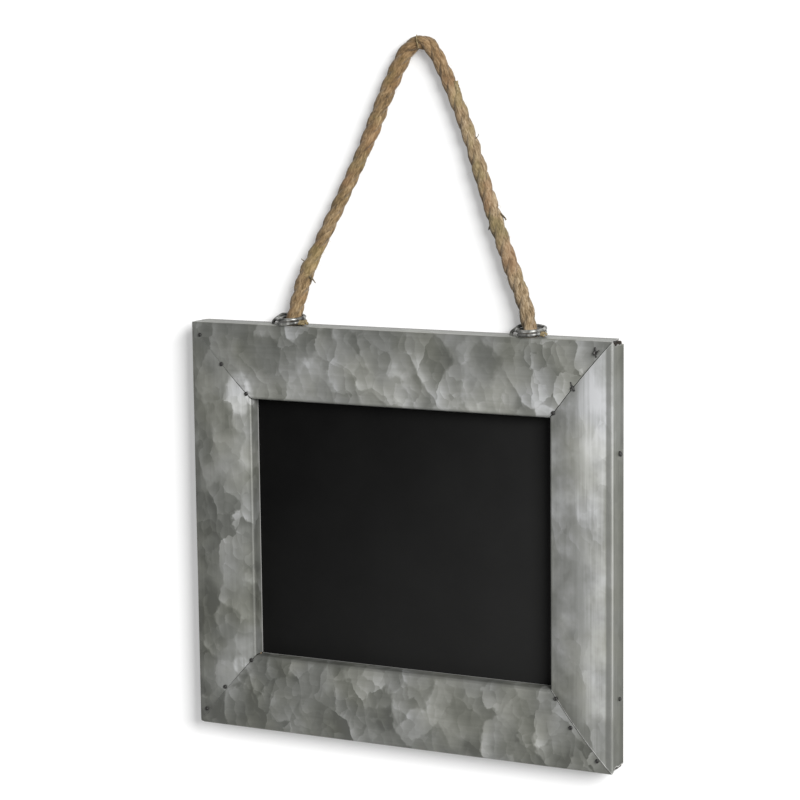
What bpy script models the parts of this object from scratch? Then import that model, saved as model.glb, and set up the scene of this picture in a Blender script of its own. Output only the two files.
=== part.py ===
"""A small wall chalkboard: a mitred wooden frame clad in bent zinc sheet, hung on a laid rope."""

import math

import bmesh
import bpy
from mathutils import Matrix, Vector

# The origin is where the rope bears on its hook. X runs right, Y into the wall and Z up.

# Frame
BOARD_WIDTH = 0.254
BOARD_HEIGHT = 0.229
RAIL_WIDTH = 0.042
STILE_WIDTH = 0.0365
FRAME_DEPTH = 0.0148

# Place of the frame under the hook
HOOK_RISE = 0.1486
HOOK_ACROSS = 0.01275
HOOK_SETBACK = 0.0105

# Bent sheet: its lengths across are those of a rail, and a stile's follow its width
SHEET = 0.0008
EDGE_RADIUS = 0.0011
STRIP_WIDTH = 0.0042
STRIP_RISE = 0.001
FACE_BULGE = 0.0018
CREST_RADIUS = 0.0022
CREST_DROP = 0.0016
PANEL_RECESS = 0.0097
SEAM_SETBACK = 0.0002
BEND_STEPS = 3
FACE_STEPS = 6

# Chalkboard panel and the flat points that hold it
PANEL_THICKNESS = 0.0025
PANEL_LAP = 0.005
POINT_WIDTH = 0.006
POINT_LENGTH = 0.0105
POINT_THICKNESS = 0.0007
POINT_BITE = 0.0055
RAIL_POINT_SHARE = 0.5

# Nails
NAIL_HEAD = 0.0023
NAIL_HEAD_THICKNESS = 0.0007
NAIL_SHANK = 0.0011
NAIL_LENGTH = 0.008
NAIL_POINT = 0.0012
NAIL_SEAT = 0.00015
HEAD_DOME_SHARES = ((0.6, 0.85), (1.0, 0.3))
SIDE_NAIL_DEPTH = 0.0095
SIDE_NAIL_HEIGHT_SHARES = (0.48, -0.66)

# Each corner's nails: along the mitre from the outer corner, as a share of the mitre's length,
# and off it towards the rail, as a share of a nail's head
CORNER_NAIL_SHARES = {
    "top_left": ((0.17, 0.0), (0.545, 0.0), (0.93, 0.0)),
    "top_right": ((0.19, 1.2), (0.6, 0.0), (0.93, 0.0)),
    "bottom_right": ((0.19, 0.6), (0.59, 0.95), (0.895, 0.0)),
    "bottom_left": ((0.18, -0.7), (0.52, -0.55), (0.93, 0.0)),
}

# Screw eyes, bent over so that their rings lie almost flat: from the tail, each ring winds
# clockwise, seen from above, and downwards, and it leans up towards the wall
EYE_DIAMETER = 0.0169
EYE_WIRE = 0.0018
EYE_LIFT = 0.0006
EYE_TURN_GAP = 0.0001
EYE_LEAN_DEG = 2.5
EYE_START_DEG = 115.0
EYE_TURN_DEG = 600.0
EYE_STEP_DEG = 15.0
EYE_TAIL = 0.0105
EYE_TAIL_LEVEL = 0.0056
EYE_BEND = 0.0013
EYE_SHANK = 0.011
EYE_FORWARD = 0.0013
LEFT_EYE_SHIFT = 0.0003
RIGHT_EYE_SHIFT = 0.0008

# Rope: its route's points, from the left knot over the hook to the right knot
ROPE_DIAMETER = 0.0082
ROPE_STEP = 0.0164
ROPE_HOLE = 0.0104
ROPE_ROUTE = (
    (-0.07965, -0.0030, -0.1501),
    (-0.07965, -0.0030, -0.1486),
    (-0.0770, -0.00285, -0.1408),
    (-0.07045, -0.0025, -0.1212),
    (-0.05925, -0.00205, -0.1001),
    (-0.04455, -0.0015, -0.0729),
    (-0.03085, -0.0010, -0.0461),
    (-0.02115, -0.00055, -0.0243),
    (-0.01175, -0.0002, -0.0062),
    (-0.00675, -0.0001, 0.0008),
    (0.0, 0.0, 0.0041),
    (0.0056, -0.00005, 0.0021),
    (0.01035, -0.00015, -0.0043),
    (0.01895, -0.0005, -0.0211),
    (0.02845, -0.00095, -0.0440),
    (0.03535, -0.0013, -0.0638),
    (0.04395, -0.0018, -0.0882),
    (0.05335, -0.0023, -0.1125),
    (0.0612, -0.0027, -0.1322),
    (0.06365, -0.0029, -0.1429),
    (0.06465, -0.0030, -0.1486),
    (0.06465, -0.0030, -0.1501),
)

# Knots and the pockets that they lie in
KNOT_DIAMETER = 0.0126
KNOT_DROP = 0.0014
POCKET_WIDTH = 0.0146
POCKET_DROP = 0.0215
POCKET_FRONT = 0.0008

# Clearances and overruns
CLEARANCE = 0.0003
HOLE_CLEARANCE = 0.00015
SLOT_CLEARANCE = 0.0002
OVERRUN = 0.004
WELD = 0.00001
ROUND_STEPS = 10

# Galvanised sheet, bare softwood, dark brads, black paint, zinc wire and jute
ZINC = ("zinc_sheet", (0.42, 0.43, 0.42), 0.45, 1.0)
WOOD = ("softwood", (0.52, 0.38, 0.23), 0.8, 0.0)
STEEL = ("dark_steel", (0.08, 0.08, 0.08), 0.5, 1.0)
SLATE = ("blackboard", (0.014, 0.014, 0.013), 0.75, 0.0)
WIRE = ("zinc_wire", (0.4, 0.4, 0.38), 0.35, 1.0)
JUTE = ("jute", (0.36, 0.25, 0.14), 0.95, 0.0)

CENTRE_X = -HOOK_ACROSS
FRONT_Y = -HOOK_SETBACK
TOP_Z = -HOOK_RISE
CENTRE_Z = TOP_Z - BOARD_HEIGHT / 2
PANEL_FRONT = PANEL_RECESS + CLEARANCE
RABBET_LAP = PANEL_LAP + CLEARANCE
LEFT_HOLE = Vector(ROPE_ROUTE[1])
RIGHT_HOLE = Vector(ROPE_ROUTE[-2])
PIVOT = Vector((CENTRE_X, LEFT_HOLE.y, TOP_Z - SHEET / 2))


def clear_scene():
    """Starts from a scene with no objects."""
    for obj in list(bpy.data.objects):
        bpy.data.objects.remove(obj, do_unlink=True)


def new_collection(name):
    """A collection linked to the scene."""
    group = bpy.data.collections.new(name)
    bpy.context.scene.collection.children.link(group)
    return group


def new_material(name, colour, roughness, metallic):
    """A Principled material, made once for each name."""
    if name in bpy.data.materials:
        return bpy.data.materials[name]
    mat = bpy.data.materials.new(name)
    mat.use_nodes = True
    shader = mat.node_tree.nodes["Principled BSDF"]
    shader.inputs["Base Color"].default_value = (*colour, 1.0)
    shader.inputs["Roughness"].default_value = roughness
    shader.inputs["Metallic"].default_value = metallic
    return mat


def place(name, data, finish, matrix, pivot=None):
    """Links a named part, set at a world matrix and carried by its pivot if it has one."""
    obj = bpy.data.objects.new(name, data)
    PARTS.objects.link(obj)
    data.materials.clear()
    data.materials.append(new_material(*finish))
    obj.parent = pivot
    if pivot:
        obj.matrix_parent_inverse = Matrix.Translation(pivot.location).inverted()
    obj.matrix_basis = matrix
    return obj


def cutter(name, bm):
    """A guide object that only cuts others."""
    mesh = bpy.data.meshes.new(name)
    bm.to_mesh(mesh)
    bm.free()
    obj = bpy.data.objects.new(name, mesh)
    CUTTERS.objects.link(obj)
    obj.display_type = "WIRE"
    obj.hide_render = True
    return obj


def cut(obj, tool):
    """Takes the tool's shape out of an object."""
    mod = obj.modifiers.new("cut_" + tool.name, "BOOLEAN")
    mod.operation = "DIFFERENCE"
    mod.object = tool


def smooth(mesh, angle=math.radians(40)):
    """Smooth shading, with edges sharper than the angle kept."""
    mesh.shade_smooth()
    mesh.set_sharp_from_angle(angle=angle)


def mesh_from(obj):
    """The closed mesh of an object's evaluated shape, with loose caps welded on."""
    bpy.context.scene.collection.objects.link(obj)
    graph = bpy.context.evaluated_depsgraph_get()
    mesh = bpy.data.meshes.new_from_object(obj.evaluated_get(graph))
    bm = bmesh.new()
    bm.from_mesh(mesh)
    bmesh.ops.remove_doubles(bm, verts=bm.verts, dist=WELD)
    bmesh.ops.recalc_face_normals(bm, faces=bm.faces)
    bm.to_mesh(mesh)
    bm.free()
    bpy.data.objects.remove(obj)
    return mesh


def bend(start, corner, end, steps):
    """Points along a soft bend from start to end, pulled towards the corner."""
    points = []
    for i in range(steps + 1):
        s = i / steps
        a, b, c = (1 - s) ** 2, 2 * s * (1 - s), s**2
        points.append(tuple(a * p + b * q + c * r for p, q, r in zip(start, corner, end)))
    return points


def face_depth(share):
    """Depth of the sheet's broad face behind the front edge, at a share of the member's width."""
    start = STRIP_WIDTH / RAIL_WIDTH
    end = 1 - CREST_RADIUS / RAIL_WIDTH
    if share < start:
        return -STRIP_RISE * share / start
    s = min((share - start) / (end - start), 1.0)
    return -STRIP_RISE + (STRIP_RISE + CREST_DROP) * s - 4 * FACE_BULGE * s * (1 - s)


def sheet_line(width):
    """Outside of the bent sheet, as (distance in from the outer edge, depth) pairs."""
    scale = width / RAIL_WIDTH
    crest = width - CREST_RADIUS * scale
    lean = EDGE_RADIUS / STRIP_WIDTH
    points = [(0.0, FRAME_DEPTH)]
    points += bend((0.0, EDGE_RADIUS), (0.0, 0.0), (EDGE_RADIUS * scale, -STRIP_RISE * lean), BEND_STEPS)
    for i in range(FACE_STEPS + 1):
        across = STRIP_WIDTH * scale + (crest - STRIP_WIDTH * scale) * i / FACE_STEPS
        points.append((across, face_depth(across / width)))
    points += bend(points.pop(), (width, CREST_DROP), (width, CREST_DROP + CREST_RADIUS), BEND_STEPS)
    points.append((width, PANEL_RECESS))
    return points


def offset(line, distance):
    """The line moved sideways, to its right hand."""
    moved = []
    for i, point in enumerate(line):
        here = Vector(point)
        back = (here - Vector(line[i - 1])).normalized() if i else None
        ahead = (Vector(line[i + 1]) - here).normalized() if i < len(line) - 1 else None
        first, second = back or ahead, ahead or back
        normal = (Vector((-first.y, first.x)) + Vector((-second.y, second.x))).normalized()
        reach = distance / normal.dot(Vector((-first.y, first.x)))
        moved.append(tuple(here + normal * reach))
    return moved


def sheet_outline(width):
    """Closed section of the sheet on a member of this width."""
    line = sheet_line(width)
    return line + offset(line, SHEET)[::-1]


def core_outline(width):
    """Closed section of the wooden core, with the rabbet that takes the panel."""
    line = offset(sheet_line(width), SHEET + CLEARANCE)
    rabbet = width - RABBET_LAP
    return line + [(rabbet, PANEL_RECESS), (rabbet, FRAME_DEPTH)]


def mitred_bar(name, outline, length, slope):
    """An outline run along a member, its ends cut back with the distance from the outer edge."""
    curve = bpy.data.curves.new(name, "CURVE")
    curve.dimensions = "2D"
    curve.fill_mode = "BOTH"
    curve.extrude = length / 2
    spline = curve.splines.new("POLY")
    spline.points.add(len(outline) - 1)
    for point, (across, depth) in zip(spline.points, outline):
        point.co = (across, depth, 0.0, 1.0)
    spline.use_cyclic_u = True
    mesh = mesh_from(bpy.data.objects.new(name, curve))
    for vertex in mesh.vertices:
        end = length / 2 - SEAM_SETBACK - vertex.co.x * slope
        vertex.co.z = math.copysign(end, vertex.co.z)
    return mesh


def members():
    """Each member's name, width, length, mitre slope and world matrix."""
    half_x, half_z = BOARD_WIDTH / 2, BOARD_HEIGHT / 2
    rail_slope, stile_slope = STILE_WIDTH / RAIL_WIDTH, RAIL_WIDTH / STILE_WIDTH
    rows = (
        ("left", STILE_WIDTH, BOARD_HEIGHT, stile_slope, -half_x, 0.0, 0),
        ("top", RAIL_WIDTH, BOARD_WIDTH, rail_slope, 0.0, half_z, 90),
        ("right", STILE_WIDTH, BOARD_HEIGHT, stile_slope, half_x, 0.0, 180),
        ("bottom", RAIL_WIDTH, BOARD_WIDTH, rail_slope, 0.0, -half_z, -90),
    )
    for name, width, length, slope, x, z, turn in rows:
        spot = Matrix.Translation((CENTRE_X + x, FRONT_Y, CENTRE_Z + z))
        yield name, width, length, slope, spot @ Matrix.Rotation(math.radians(turn), 4, "Y")


def add_sheets(pivot):
    """The four bent sheets."""
    made = {}
    for name, width, length, slope, matrix in members():
        mesh = mitred_bar("sheet_" + name, sheet_outline(width), length, slope)
        smooth(mesh, math.radians(25))
        made[name] = place("sheet_" + name, mesh, ZINC, matrix, pivot)
    return made


def add_cores(pivot):
    """The four wooden bars inside the sheets."""
    made = {}
    for name, width, length, slope, matrix in members():
        mesh = mitred_bar("core_" + name, core_outline(width), length, slope)
        made[name] = place("core_" + name, mesh, WOOD, matrix, pivot)
    return made


def block(bm, centre, size):
    """Adds a box to a mesh under construction."""
    matrix = Matrix.Translation(centre) @ Matrix.Diagonal((*size, 1.0))
    bmesh.ops.create_cube(bm, size=1.0, matrix=matrix)


def rod(bm, start, end, radius):
    """Adds a closed cylinder from start to end."""
    start, end = Vector(start), Vector(end)
    turn = (end - start).to_track_quat("Z", "Y").to_matrix().to_4x4()
    bmesh.ops.create_cone(
        bm,
        cap_ends=True,
        segments=ROUND_STEPS,
        radius1=radius,
        radius2=radius,
        depth=(end - start).length,
        matrix=Matrix.Translation((start + end) / 2) @ turn,
    )


def mesh_of(name, bm):
    """Turns a mesh under construction into mesh data."""
    mesh = bpy.data.meshes.new(name)
    bm.to_mesh(mesh)
    bm.free()
    return mesh


def add_panel(pivot):
    """The chalkboard panel, behind the sheets' inner edges."""
    bm = bmesh.new()
    width = BOARD_WIDTH - 2 * STILE_WIDTH + 2 * PANEL_LAP
    height = BOARD_HEIGHT - 2 * RAIL_WIDTH + 2 * PANEL_LAP
    block(bm, (0.0, 0.0, 0.0), (width, PANEL_THICKNESS, height))
    depth = FRONT_Y + PANEL_FRONT + PANEL_THICKNESS / 2
    matrix = Matrix.Translation((CENTRE_X, depth, CENTRE_Z))
    return place("chalkboard_panel", mesh_of("chalkboard_panel", bm), SLATE, matrix, pivot)


def point_places():
    """Name, middle and inward direction of each flat point at the rabbet's wall."""
    half_x = BOARD_WIDTH / 2 - STILE_WIDTH
    wall_x = half_x + RABBET_LAP
    wall_z = BOARD_HEIGHT / 2 - RAIL_WIDTH + RABBET_LAP
    for side, sign in (("top", 1), ("bottom", -1)):
        for tag, along in (("left", -half_x), ("right", half_x)):
            wall = Vector((along * RAIL_POINT_SHARE, 0.0, sign * wall_z))
            yield f"{side}_{tag}", wall, Vector((0, 0, -sign))
    for side, sign in (("left", -1), ("right", 1)):
        yield side, Vector((sign * wall_x, 0.0, 0.0)), Vector((-sign, 0, 0))


def point_block(bm, wall, inward, grow):
    """Adds one flat point, grown on all sides for its slot."""
    middle = wall + inward * (POINT_LENGTH / 2 - POINT_BITE)
    along, across = POINT_LENGTH + 2 * grow, POINT_WIDTH + 2 * grow
    width, height = (along, across) if inward.x else (across, along)
    block(bm, middle, (width, POINT_THICKNESS + 2 * grow, height))


def add_points(pivot, cores):
    """Flat steel points driven into the rabbet, which hold the panel in."""
    depth = FRONT_Y + PANEL_FRONT + PANEL_THICKNESS + CLEARANCE + POINT_THICKNESS / 2
    spot = Vector((CENTRE_X, depth, CENTRE_Z))
    slots = bmesh.new()
    for name, wall, inward in point_places():
        bm = bmesh.new()
        point_block(bm, wall, inward, 0.0)
        place("point_" + name, mesh_of("point_" + name, bm), STEEL, Matrix.Translation(spot), pivot)
        point_block(slots, wall, inward, SLOT_CLEARANCE)
    bmesh.ops.translate(slots, verts=slots.verts, vec=spot)
    tool = cutter("point_slots", slots)
    for core in cores.values():
        cut(core, tool)


def nail_mesh():
    """A brad with a low domed head, its head's underside at the origin and its shank along -Z."""
    head, shank = NAIL_HEAD / 2, NAIL_SHANK / 2
    profile = (
        (0.0, NAIL_HEAD_THICKNESS),
        *((head * across, NAIL_HEAD_THICKNESS * up) for across, up in HEAD_DOME_SHARES),
        (head, 0.0),
        (shank, 0.0),
        (shank, NAIL_POINT - NAIL_LENGTH),
        (0.0, -NAIL_LENGTH),
    )
    mesh = bpy.data.meshes.new("nail")
    edges = [(i, i + 1) for i in range(len(profile) - 1)]
    mesh.from_pydata([(x, 0.0, z) for x, z in profile], edges, [])
    obj = bpy.data.objects.new("nail_profile", mesh)
    screw = obj.modifiers.new("turn", "SCREW")
    screw.steps = screw.render_steps = ROUND_STEPS
    screw.use_merge_vertices = True
    screw.merge_threshold = WELD
    made = mesh_from(obj)
    smooth(made)
    return made


def seat_depth(share):
    """How far forward a nail's head must lie to clear the curved face under it."""
    reach = NAIL_HEAD / 2 / RAIL_WIDTH
    return min(face_depth(share - reach), face_depth(share), face_depth(share + reach)) - NAIL_SEAT


def nail_places():
    """Name, place and outward direction of every nail."""
    mitre = Vector((STILE_WIDTH, RAIL_WIDTH))
    aside = Vector((RAIL_WIDTH, -STILE_WIDTH)).normalized() * NAIL_HEAD
    for corner, shares in CORNER_NAIL_SHARES.items():
        side_x = -1 if "left" in corner else 1
        side_z = 1 if "top" in corner else -1
        for i, (along, off) in enumerate(shares, 1):
            across, down = mitre * along + aside * off
            x = CENTRE_X + side_x * (BOARD_WIDTH / 2 - across)
            z = CENTRE_Z + side_z * (BOARD_HEIGHT / 2 - down)
            y = FRONT_Y + min(seat_depth(across / STILE_WIDTH), seat_depth(down / RAIL_WIDTH))
            yield f"nail_{corner}_{i}", Vector((x, y, z)), Vector((0, -1, 0))
    for side, sign in (("left", -1), ("right", 1)):
        for i, share in enumerate(SIDE_NAIL_HEIGHT_SHARES, 1):
            x = CENTRE_X + sign * (BOARD_WIDTH / 2 + NAIL_SEAT)
            z = CENTRE_Z + share * BOARD_HEIGHT / 2
            yield f"nail_{side}_{i}", Vector((x, FRONT_Y + SIDE_NAIL_DEPTH, z)), Vector((sign, 0, 0))


def add_nails(pivot, holes):
    """The brads, and their holes in sheet and wood."""
    mesh = nail_mesh()
    for name, spot, outward in nail_places():
        turn = outward.to_track_quat("Z", "X").to_matrix().to_4x4()
        place(name, mesh, STEEL, Matrix.Translation(spot) @ turn, pivot)
        tip = spot - outward * (NAIL_LENGTH + CLEARANCE)
        rod(holes, spot + outward * OVERRUN, tip, NAIL_SHANK / 2 + HOLE_CLEARANCE)


def eye_route():
    """Centreline of a bent screw eye: its ring's centre is over the origin, on a sheet at zero."""
    radius = (EYE_DIAMETER - EYE_WIRE) / 2
    pitch = EYE_WIRE + EYE_TURN_GAP
    ring = []
    for i in range(round(EYE_TURN_DEG / EYE_STEP_DEG) + 1):
        turned = EYE_STEP_DEG * i
        angle = math.radians(EYE_START_DEG - turned)
        x, y = radius * math.cos(angle), radius * math.sin(angle)
        lift = y * math.tan(math.radians(EYE_LEAN_DEG)) + pitch * (EYE_TURN_DEG - turned) / 360
        ring.append(Vector((x, y, EYE_LIFT + EYE_WIRE / 2 + lift)))
    start = math.radians(EYE_START_DEG)
    heading = Vector((math.sin(start), -math.cos(start), 0.0))
    shoulder = ring[0] - heading * EYE_TAIL_LEVEL
    foot = ring[0] - heading * EYE_TAIL
    foot.z = 0.0
    corner = foot + Vector((0.0, 0.0, EYE_BEND))
    rise = (shoulder - corner).normalized()
    neck = bend(foot, corner, corner + rise * EYE_BEND, BEND_STEPS)
    neck += bend(shoulder - rise * EYE_BEND, shoulder, shoulder + heading * EYE_BEND, BEND_STEPS)
    return [foot - Vector((0.0, 0.0, EYE_SHANK))] + [Vector(p) for p in neck] + ring


def tube(name, points, diameter, resolution):
    """A round wire or rope along its points, with closed ends."""
    curve = bpy.data.curves.new(name, "CURVE")
    curve.dimensions = "3D"
    curve.bevel_depth = diameter / 2
    curve.bevel_resolution = resolution
    curve.use_fill_caps = True
    spline = curve.splines.new("POLY")
    spline.points.add(len(points) - 1)
    for point, co in zip(spline.points, points):
        point.co = (*co, 1.0)
    return curve


def add_eyes(pivot, holes):
    """The two screw eyes round the rope, each with its shank in the top rail."""
    route = eye_route()
    wire = tube("eye", route, EYE_WIRE, 2)
    sides = (("left", LEFT_HOLE, LEFT_EYE_SHIFT), ("right", RIGHT_HOLE, RIGHT_EYE_SHIFT))
    for side, hole, shift in sides:
        centre = Vector((hole.x + shift, hole.y - EYE_FORWARD, TOP_Z))
        place("eye_" + side, wire, WIRE, Matrix.Translation(centre), pivot)
        foot = centre + route[1]
        radius = EYE_WIRE / 2 + SLOT_CLEARANCE
        rod(holes, foot + Vector((0, 0, OVERRUN)), foot - Vector((0, 0, EYE_SHANK + CLEARANCE)), radius)


def rope_points():
    """Points read from a smooth curve through the rope's route."""
    route = [Vector(p) for p in ROPE_ROUTE]
    ends = [2 * route[0] - route[1], *route, 2 * route[-1] - route[-2]]
    points = []
    for before, a, b, after in zip(ends, ends[1:], ends[2:], ends[3:]):
        steps = max(2, math.ceil((b - a).length / ROPE_STEP))
        if (b - a).length < ROPE_DIAMETER / 2:
            steps = 1
        for i in range(steps):
            s = i / steps
            out, into = (b - before) / 2, (after - a) / 2
            near = (1 + 2 * s) * (1 - s) ** 2 * a + s * (1 - s) ** 2 * out
            points.append(near + s**2 * (3 - 2 * s) * b - s**2 * (1 - s) * into)
    return points + [route[-1]]


def add_rope():
    """The rope and its two stopper knots, which hang from the hook."""
    points = rope_points()
    length = sum((b - a).length for a, b in zip(points, points[1:]))
    print(f"rope: {len(points)} points, {length:.4f} m along its middle")
    place("rope", tube("rope", points, ROPE_DIAMETER, 3), JUTE, Matrix.Identity(4))
    bm = bmesh.new()
    bmesh.ops.create_uvsphere(bm, u_segments=14, v_segments=9, radius=KNOT_DIAMETER / 2)
    mesh = mesh_of("rope_knot", bm)
    smooth(mesh)
    for side, hole in (("left", LEFT_HOLE), ("right", RIGHT_HOLE)):
        centre = Vector((hole.x, hole.y, PIVOT.z - KNOT_DROP - KNOT_DIAMETER / 2))
        place("rope_knot_" + side, mesh, JUTE, Matrix.Translation(centre))


def cut_for_rope(sheet, core):
    """Holes for the rope in the top sheet, and pockets behind them, open to the back, in the wood."""
    holes, pockets = bmesh.new(), bmesh.new()
    for hole in (LEFT_HOLE, RIGHT_HOLE):
        top = Vector((hole.x, hole.y, TOP_Z))
        rod(holes, top + Vector((0, 0, OVERRUN)), top - Vector((0, 0, SHEET + CLEARANCE)), ROPE_HOLE / 2)
        depth = FRAME_DEPTH - POCKET_FRONT + OVERRUN
        height = POCKET_DROP + OVERRUN
        middle = (hole.x, FRONT_Y + POCKET_FRONT + depth / 2, TOP_Z - POCKET_DROP + height / 2)
        block(pockets, middle, (POCKET_WIDTH, depth, height))
    cut(sheet, cutter("rope_holes", holes))
    cut(core, cutter("knot_pockets", pockets))


def build():
    """Makes the whole chalkboard."""
    pivot = bpy.data.objects.new("board_pivot", None)
    PARTS.objects.link(pivot)
    pivot.location = PIVOT
    sheets, cores = add_sheets(pivot), add_cores(pivot)
    add_panel(pivot)
    add_points(pivot, cores)
    holes = bmesh.new()
    add_nails(pivot, holes)
    add_eyes(pivot, holes)
    drilled = cutter("fixing_holes", holes)
    for member in (*sheets.values(), *cores.values()):
        cut(member, drilled)
    add_rope()
    cut_for_rope(sheets["top"], cores["top"])


clear_scene()
PARTS = new_collection("wall_chalkboard")
CUTTERS = new_collection("cutters")
build()
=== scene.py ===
# %% [markdown]
# # A small chalkboard in a galvanised frame
#
# The imported CAD model is the skeleton of this lesson: it says where every piece sits, in metres, with
# the origin under the top of the rope. Here each piece gets the shape and the finish that the eye sees.

import math

import bmesh
import bpy
from mathutils import Matrix, Vector, kdtree, noise


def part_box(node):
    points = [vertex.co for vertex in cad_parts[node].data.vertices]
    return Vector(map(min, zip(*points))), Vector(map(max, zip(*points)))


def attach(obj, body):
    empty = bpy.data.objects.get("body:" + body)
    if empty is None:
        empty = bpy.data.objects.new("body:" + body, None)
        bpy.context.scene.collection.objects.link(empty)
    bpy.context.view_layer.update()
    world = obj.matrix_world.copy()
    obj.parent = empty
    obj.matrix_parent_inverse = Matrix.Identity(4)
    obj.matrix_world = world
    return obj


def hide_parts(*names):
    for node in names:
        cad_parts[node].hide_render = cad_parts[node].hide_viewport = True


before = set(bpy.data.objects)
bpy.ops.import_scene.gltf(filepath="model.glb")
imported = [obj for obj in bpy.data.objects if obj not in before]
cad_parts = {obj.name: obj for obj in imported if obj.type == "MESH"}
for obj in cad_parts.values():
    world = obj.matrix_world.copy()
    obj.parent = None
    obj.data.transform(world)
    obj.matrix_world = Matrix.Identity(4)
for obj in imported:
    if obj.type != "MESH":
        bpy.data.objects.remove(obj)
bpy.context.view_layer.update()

# %% [markdown]
# ## Camera
#
# The photograph was taken from the right of the board and a little above it, with a long lens. The
# place and turn come from lining up eleven straight edges of the frame, so the perspective is the
# photograph's own and needs only a very small shift.

# %% Camera
CAMERA_PLACE = (0.64405, -1.24736, 0.0125)
CAMERA_TURN, CAMERA_DIP, CAMERA_ROLL = 27.72, 8.476, -0.640


def turned_by(degrees, axis):
    """A turn about one axis, as a matrix."""
    return Matrix.Rotation(math.radians(degrees), 4, axis)


camera_data = bpy.data.cameras.new("camera")
camera_data.lens = 118.71
camera_data.sensor_width = 36.0
camera_data.shift_x, camera_data.shift_y = -0.0070, 0.0239
camera_data.clip_start, camera_data.clip_end = 0.05, 30.0
camera = bpy.data.objects.new("camera", camera_data)
bpy.context.scene.collection.objects.link(camera)
aimed = turned_by(CAMERA_TURN, "Z") @ turned_by(90.0 - CAMERA_DIP, "X") @ turned_by(CAMERA_ROLL, "Z")
camera.matrix_world = Matrix.Translation(CAMERA_PLACE) @ aimed
bpy.context.scene.camera = camera
bpy.context.scene.view_settings.view_transform = "Standard"
print("camera stands", round(camera.location.length, 3), "m from the pin")

# %% [markdown]
# ## Small helpers for node trees
#
# Materials and Geometry Nodes are both trees of nodes. `put` adds one node, fills or links its inputs and
# gives one of its outputs as a term. Terms can be added and multiplied, which adds Math nodes, so that a
# formula in a later cell reads almost as it is written. A term knows its tree, so few calls name one.


# %% Node helpers
class Term:
    """An output of a node. A sum of terms adds Math nodes to the same tree."""

    def __init__(self, socket):
        self.socket = socket

    def __add__(self, other):
        return calc("ADD", self, other)

    def __sub__(self, other):
        return calc("SUBTRACT", self, other)

    def __rsub__(self, other):
        return calc("SUBTRACT", other, self)

    def __mul__(self, other):
        return calc("MULTIPLY", self, other)

    def output(self, key):
        """Another output of the same node."""
        return Term(self.socket.node.outputs[key])


def put(kind, inputs=None, tree=None, output=0, **settings):
    """Adds a node to this tree, or to that of its inputs, which are plain values or terms to link."""
    inputs = inputs or {}
    tree = tree or next(value.socket.id_data for value in inputs.values() if isinstance(value, Term))
    node = tree.nodes.new(kind)
    for key, value in settings.items():
        setattr(node, key, value)
    for key, value in inputs.items():
        if isinstance(value, Term):
            tree.links.new(value.socket, node.inputs[key])
        else:
            node.inputs[key].default_value = value
    return Term(node.outputs[output]) if node.outputs else None


def calc(operation, *values):
    """One sum of a Math node."""
    return put("ShaderNodeMath", dict(enumerate(values)), operation=operation)


def vector(operation, *values):
    """One sum of a Vector Math node, as a vector, or as a number for a product or a length."""
    output = "Value" if operation in {"DOT_PRODUCT", "LENGTH"} else "Vector"
    return put("ShaderNodeVectorMath", dict(enumerate(values)), output=output, operation=operation)


def limited(value, low, high):
    """A value kept between two numbers."""
    return calc("MINIMUM", calc("MAXIMUM", value, low), high)


def fade(value, start, end, low=0.0, high=1.0):
    """Runs softly from low to high while the value goes from start to end."""
    inputs = {"Value": value, "From Min": start, "From Max": end, "To Min": low, "To Max": high}
    return put("ShaderNodeMapRange", inputs, interpolation_type="SMOOTHSTEP")


def feed(node, **terms):
    """Links terms to a node's inputs by name."""
    for label, term in terms.items():
        node.id_data.links.new(term.socket, node.inputs[label.replace("_", " ")])


# %% [markdown]
# ## Small helpers for meshes
#
# Most pieces are computed as points and faces, and a few are made with Blender's own mesh tools. Either
# way the object stays at the origin, unturned, and its place is in its mesh.


# %% Mesh helpers
def show(name, mesh):
    """Links a mesh as a new object at the origin."""
    obj = bpy.data.objects.new(name, mesh)
    bpy.context.scene.collection.objects.link(obj)
    return obj


def from_bmesh(name, bm):
    """A new object from a BMesh, which is freed."""
    mesh = bpy.data.meshes.new(name)
    bm.to_mesh(mesh)
    bm.free()
    return show(name, mesh)


# %% [markdown]
# ## Wall, floor and light
#
# The board hangs on a white wall under one large soft lamp, which stands to the right, above and in
# front, so the shadow falls to the left and below. A weak second lamp stands behind the wall plane and
# lights the back. The wall shows only its front, so the back of the board can be looked at too. Camera
# and glossy rays get a little more white from it than the lamps give, which keeps the backdrop white
# without more light on the metal. The lamp lights the wall's right side more, so the wall's own colour
# gets a little darker towards the right and the top, and the backdrop comes out even.


# %% Wall and floor
WALL_BEHIND, WALL_MIDDLE, FLOOR_BELOW, BACKDROP_SIZE = 0.0048, 1.4, -0.62, 6.0
DARKEST, PALEST = 0.3, 0.95


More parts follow.
